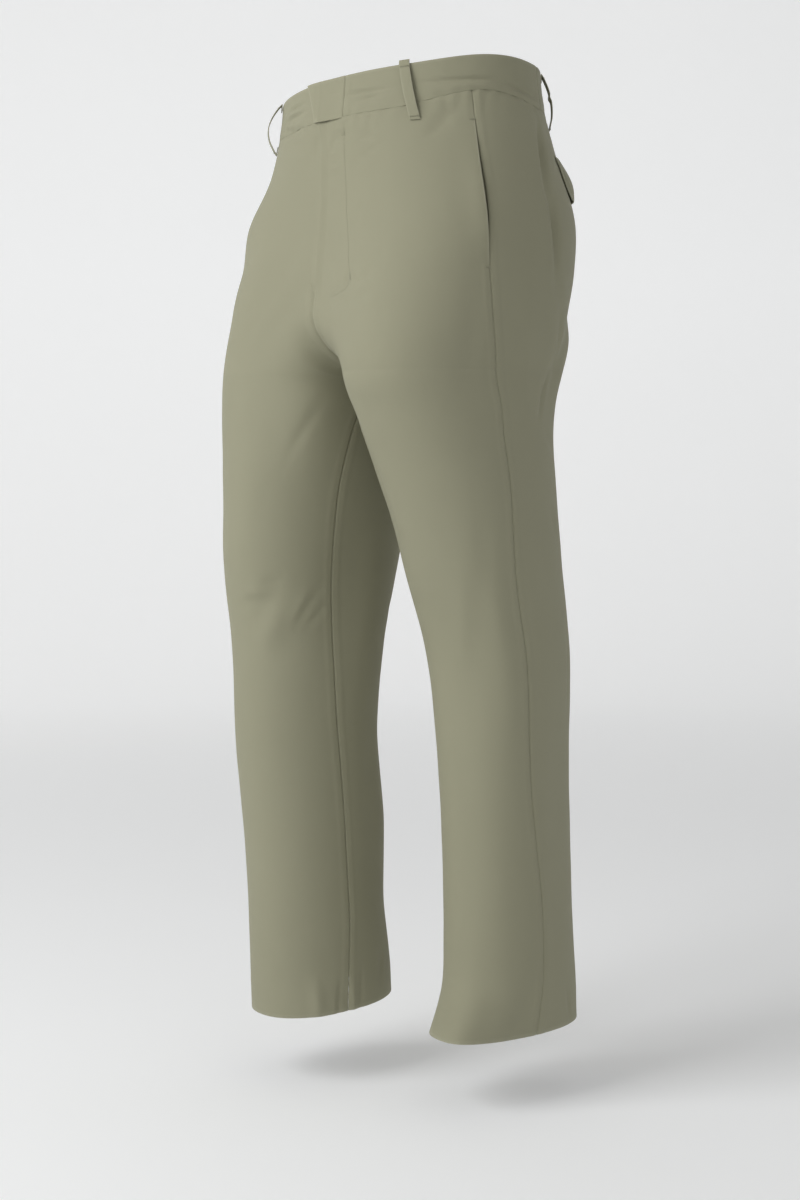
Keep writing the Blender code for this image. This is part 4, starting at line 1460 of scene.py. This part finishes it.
# %% Dress every piece
TWILL = cloth_material()
THREAD = thread_material()
for piece in CLOTHS.values():
    piece.data.materials.clear()
    piece.data.materials.append(TWILL)
for piece in THREADS:
    piece.data.materials.clear()
    piece.data.materials.append(THREAD)
print("cloth pieces:", len(CLOTHS), "thread pieces:", len(THREADS))

# %% [markdown]
# ## What each piece stands for
#
# Every sheet rides on the one body, stands for its solid and states the size it was cut to. The sizes
# are of what shows, without seam allowances.

# %% The cuts
CUT_COLUMNS = ("name", "width", "length", "area", "held", "hangs_from")
CUT_ROWS = (
    ("front_left", 0.330, 0.970, 0.235, "hung", "waistband_left"),
    ("front_right", 0.330, 0.970, 0.235, "hung", "waistband_right"),
    ("back_left", 0.370, 0.970, 0.285, "hung", "waistband_back"),
    ("back_right", 0.370, 0.970, 0.285, "hung", "waistband_back"),
    ("fly_shield", 0.046, 0.174, 0.0080, "hung", "waistband_left"),
    ("waistband_left", 0.238, 0.042, 0.0099, "folded", "front_left"),
    ("waistband_right", 0.292, 0.042, 0.0122, "folded", "front_right"),
    ("waistband_back", 0.371, 0.042, 0.0155, "folded", "back_left"),
    ("waistband_tab", 0.056, 0.043, 0.0020, "folded", "waistband_right"),
    ("belt_loop_front_left", 0.011, 0.080, 0.00088, "folded", "waistband_left"),
    ("belt_loop_front_right", 0.011, 0.084, 0.00092, "folded", "waistband_right"),
    ("belt_loop_side_left", 0.011, 0.082, 0.00090, "folded", "waistband_back"),
    ("belt_loop_side_right", 0.011, 0.080, 0.00088, "folded", "waistband_back"),
    ("belt_loop_back", 0.011, 0.080, 0.00088, "folded", "waistband_back"),
    ("pocket_facing_left", 0.034, 0.166, 0.0056, "hung", "front_left"),
    ("pocket_facing_right", 0.034, 0.166, 0.0056, "hung", "front_right"),
    ("pocket_flap_left", 0.130, 0.044, 0.0056, "folded", "back_left"),
    ("pocket_flap_right", 0.130, 0.044, 0.0056, "folded", "back_right"),
)
for row in CUT_ROWS:
    cut = dict(zip(CUT_COLUMNS, row))
    piece = CLOTHS[cut["name"]]
    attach(piece, "root")
    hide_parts(cut["name"])
    surface_area = sum(face.area for face in piece.data.polygons) / 2
    print(piece.name, "half surface", round(surface_area, 5), "cut", cut["area"])
for piece in THREADS:
    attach(piece, "root")

# %% [markdown]
# ## The studio
#
# A pale round floor whose rim curves up all round makes a backdrop from every side with no line between
# floor and wall. It starts as a circle and its rim is extruded up a quarter round.

# %% The floor
FLOOR = -1.085
FLOOR_RADIUS = 3.6
CURVE_RADIUS = 1.3
WALL_HEIGHT = 3.4
CURVE_STEPS = 12
bpy.ops.object.select_all(action="DESELECT")
bpy.ops.mesh.primitive_circle_add(
    vertices=128, radius=FLOOR_RADIUS, fill_type="NGON", location=(0, 0, FLOOR)
)
floor = bpy.context.object
floor.name = "studio_floor"
profile = []
for step in range(1, CURVE_STEPS + 1):
    turn = math.radians(90 * step / CURVE_STEPS)
    out = FLOOR_RADIUS + CURVE_RADIUS * math.sin(turn)
    profile.append((out, CURVE_RADIUS * (1 - math.cos(turn))))
profile.append((FLOOR_RADIUS + CURVE_RADIUS, WALL_HEIGHT))
bpy.ops.object.mode_set(mode="EDIT")
bpy.ops.mesh.select_all(action="SELECT")
reach, rise = FLOOR_RADIUS, 0.0
for out, up in profile:
    bpy.ops.mesh.extrude_edges_move(TRANSFORM_OT_translate={"value": (0, 0, up - rise)})
    grow = out / reach
    bpy.ops.transform.resize(value=(grow, grow, 1), center_override=(0, 0, FLOOR + up))
    reach, rise = out, up
bpy.ops.mesh.select_all(action="SELECT")
bpy.ops.mesh.normals_make_consistent(inside=True)
bpy.ops.mesh.faces_shade_smooth()
bpy.ops.object.mode_set(mode="OBJECT")
bpy.ops.object.transform_apply(location=True, rotation=True, scale=True)
print("floor", len(floor.data.polygons), "faces, rim at", round(rise, 2), "m")

# %% [markdown]
# The paper is plain and pale. A real backdrop has lamps of its own; here painted light stands in for
# them: the paper glows faintly more with the distance behind the garment, with no lamp whose edge could
# show.

# %% The floor's paper colour and its painted glow
PAPER_COLOUR = (0.790, 0.800, 0.810, 1)
PAPER_LIGHT = (0.820, 0.828, 0.836, 1)
GLOW_COLOUR = (1.0, 0.995, 0.985, 1)
GLOW_WAY = (-0.97, 0.24, 0)
GLOW_RANGE = {"From Min": 0.9, "From Max": 5.2, "To Min": 0.11, "To Max": 0.29}


def floor_material():
    material = bpy.data.materials.new("paper_with_painted_glow")
    material.use_nodes = True
    tree = material.node_tree
    shader = tree.nodes["Principled BSDF"]
    places = tree.nodes.new("ShaderNodeTexCoord")
    tone = noise(tree, places.outputs["Object"], 0.8, 2)
    colour = mix_colours(tree, tone, PAPER_COLOUR, PAPER_LIGHT)
    behind = tree.nodes.new("ShaderNodeVectorMath")
    behind.operation = "DOT_PRODUCT"
    behind.inputs[1].default_value = GLOW_WAY
    tree.links.new(places.outputs["Object"], behind.inputs[0])
    glow = tree.nodes.new("ShaderNodeMapRange")
    glow.interpolation_type = "SMOOTHSTEP"
    tree.links.new(behind.outputs["Value"], glow.inputs["Value"])
    for name, value in GLOW_RANGE.items():
        glow.inputs[name].default_value = value
    tree.links.new(colour, shader.inputs["Base Color"])
    # Painted light: emission makes the paper glow more the further behind the garment it lies.
    tree.links.new(glow.outputs[0], shader.inputs["Emission Strength"])
    shader.inputs["Emission Color"].default_value = GLOW_COLOUR
    shader.inputs["Roughness"].default_value = 0.9
    shader.inputs["Specular IOR Level"].default_value = 0.1
    return material


floor.data.materials.append(floor_material())

# %% [markdown]
# One large soft light stands in front of the garment, at the left of the picture and about a metre above
# the waist. The sky fills the rest evenly, as a white room does. The standard view transform keeps the
# cloth's own colour.

# %% Light
SKY_COLOUR = (1.0, 0.99, 0.97, 1)
SKY_STRENGTH = 0.44
KEY_PLACE = (-0.40, -2.45, 1.05)
KEY_TARGET = (0, 0, -0.40)
KEY_SIZE = (1.8, 2.4)
KEY_WATTS = 60
world = bpy.data.worlds.new("white_room")
world.use_nodes = True
sky = world.node_tree.nodes["Background"]
sky.inputs["Color"].default_value = SKY_COLOUR
sky.inputs["Strength"].default_value = SKY_STRENGTH
bpy.context.scene.world = world
bpy.context.scene.view_settings.view_transform = "Standard"

bpy.ops.object.select_all(action="DESELECT")
bpy.ops.object.light_add(type="AREA", location=KEY_PLACE)
key = bpy.context.object
key.name = "key_light"
key.data.shape = "RECTANGLE"
key.data.size, key.data.size_y = KEY_SIZE
key.data.energy = KEY_WATTS
aim = np.array(KEY_TARGET) - np.array(KEY_PLACE)
level = math.hypot(aim[0], aim[1])
key.rotation_euler = (math.atan2(level, -aim[2]), 0, math.atan2(-aim[0], aim[1]))
key.visible_camera = False
print("key light", [round(value, 2) for value in key.location])

# %% [markdown]
# The camera stands where the photograph was taken from: half way round to the wearer's left, level with
# the thighs, looking slightly down.

# %% Camera
CAMERA_PLACE = (1.787, -1.447, -0.3905)
CAMERA_TILT = 86.05
CAMERA_TURN = 51.25
bpy.ops.object.select_all(action="DESELECT")
bpy.ops.object.camera_add(location=CAMERA_PLACE)
camera = bpy.context.object
camera.name = "studio_camera"
camera.rotation_euler = (math.radians(CAMERA_TILT), 0, math.radians(CAMERA_TURN))
camera.data.lens = 63
camera.data.sensor_width = 36
bpy.context.scene.camera = camera
print("camera", camera.data.lens, "mm")
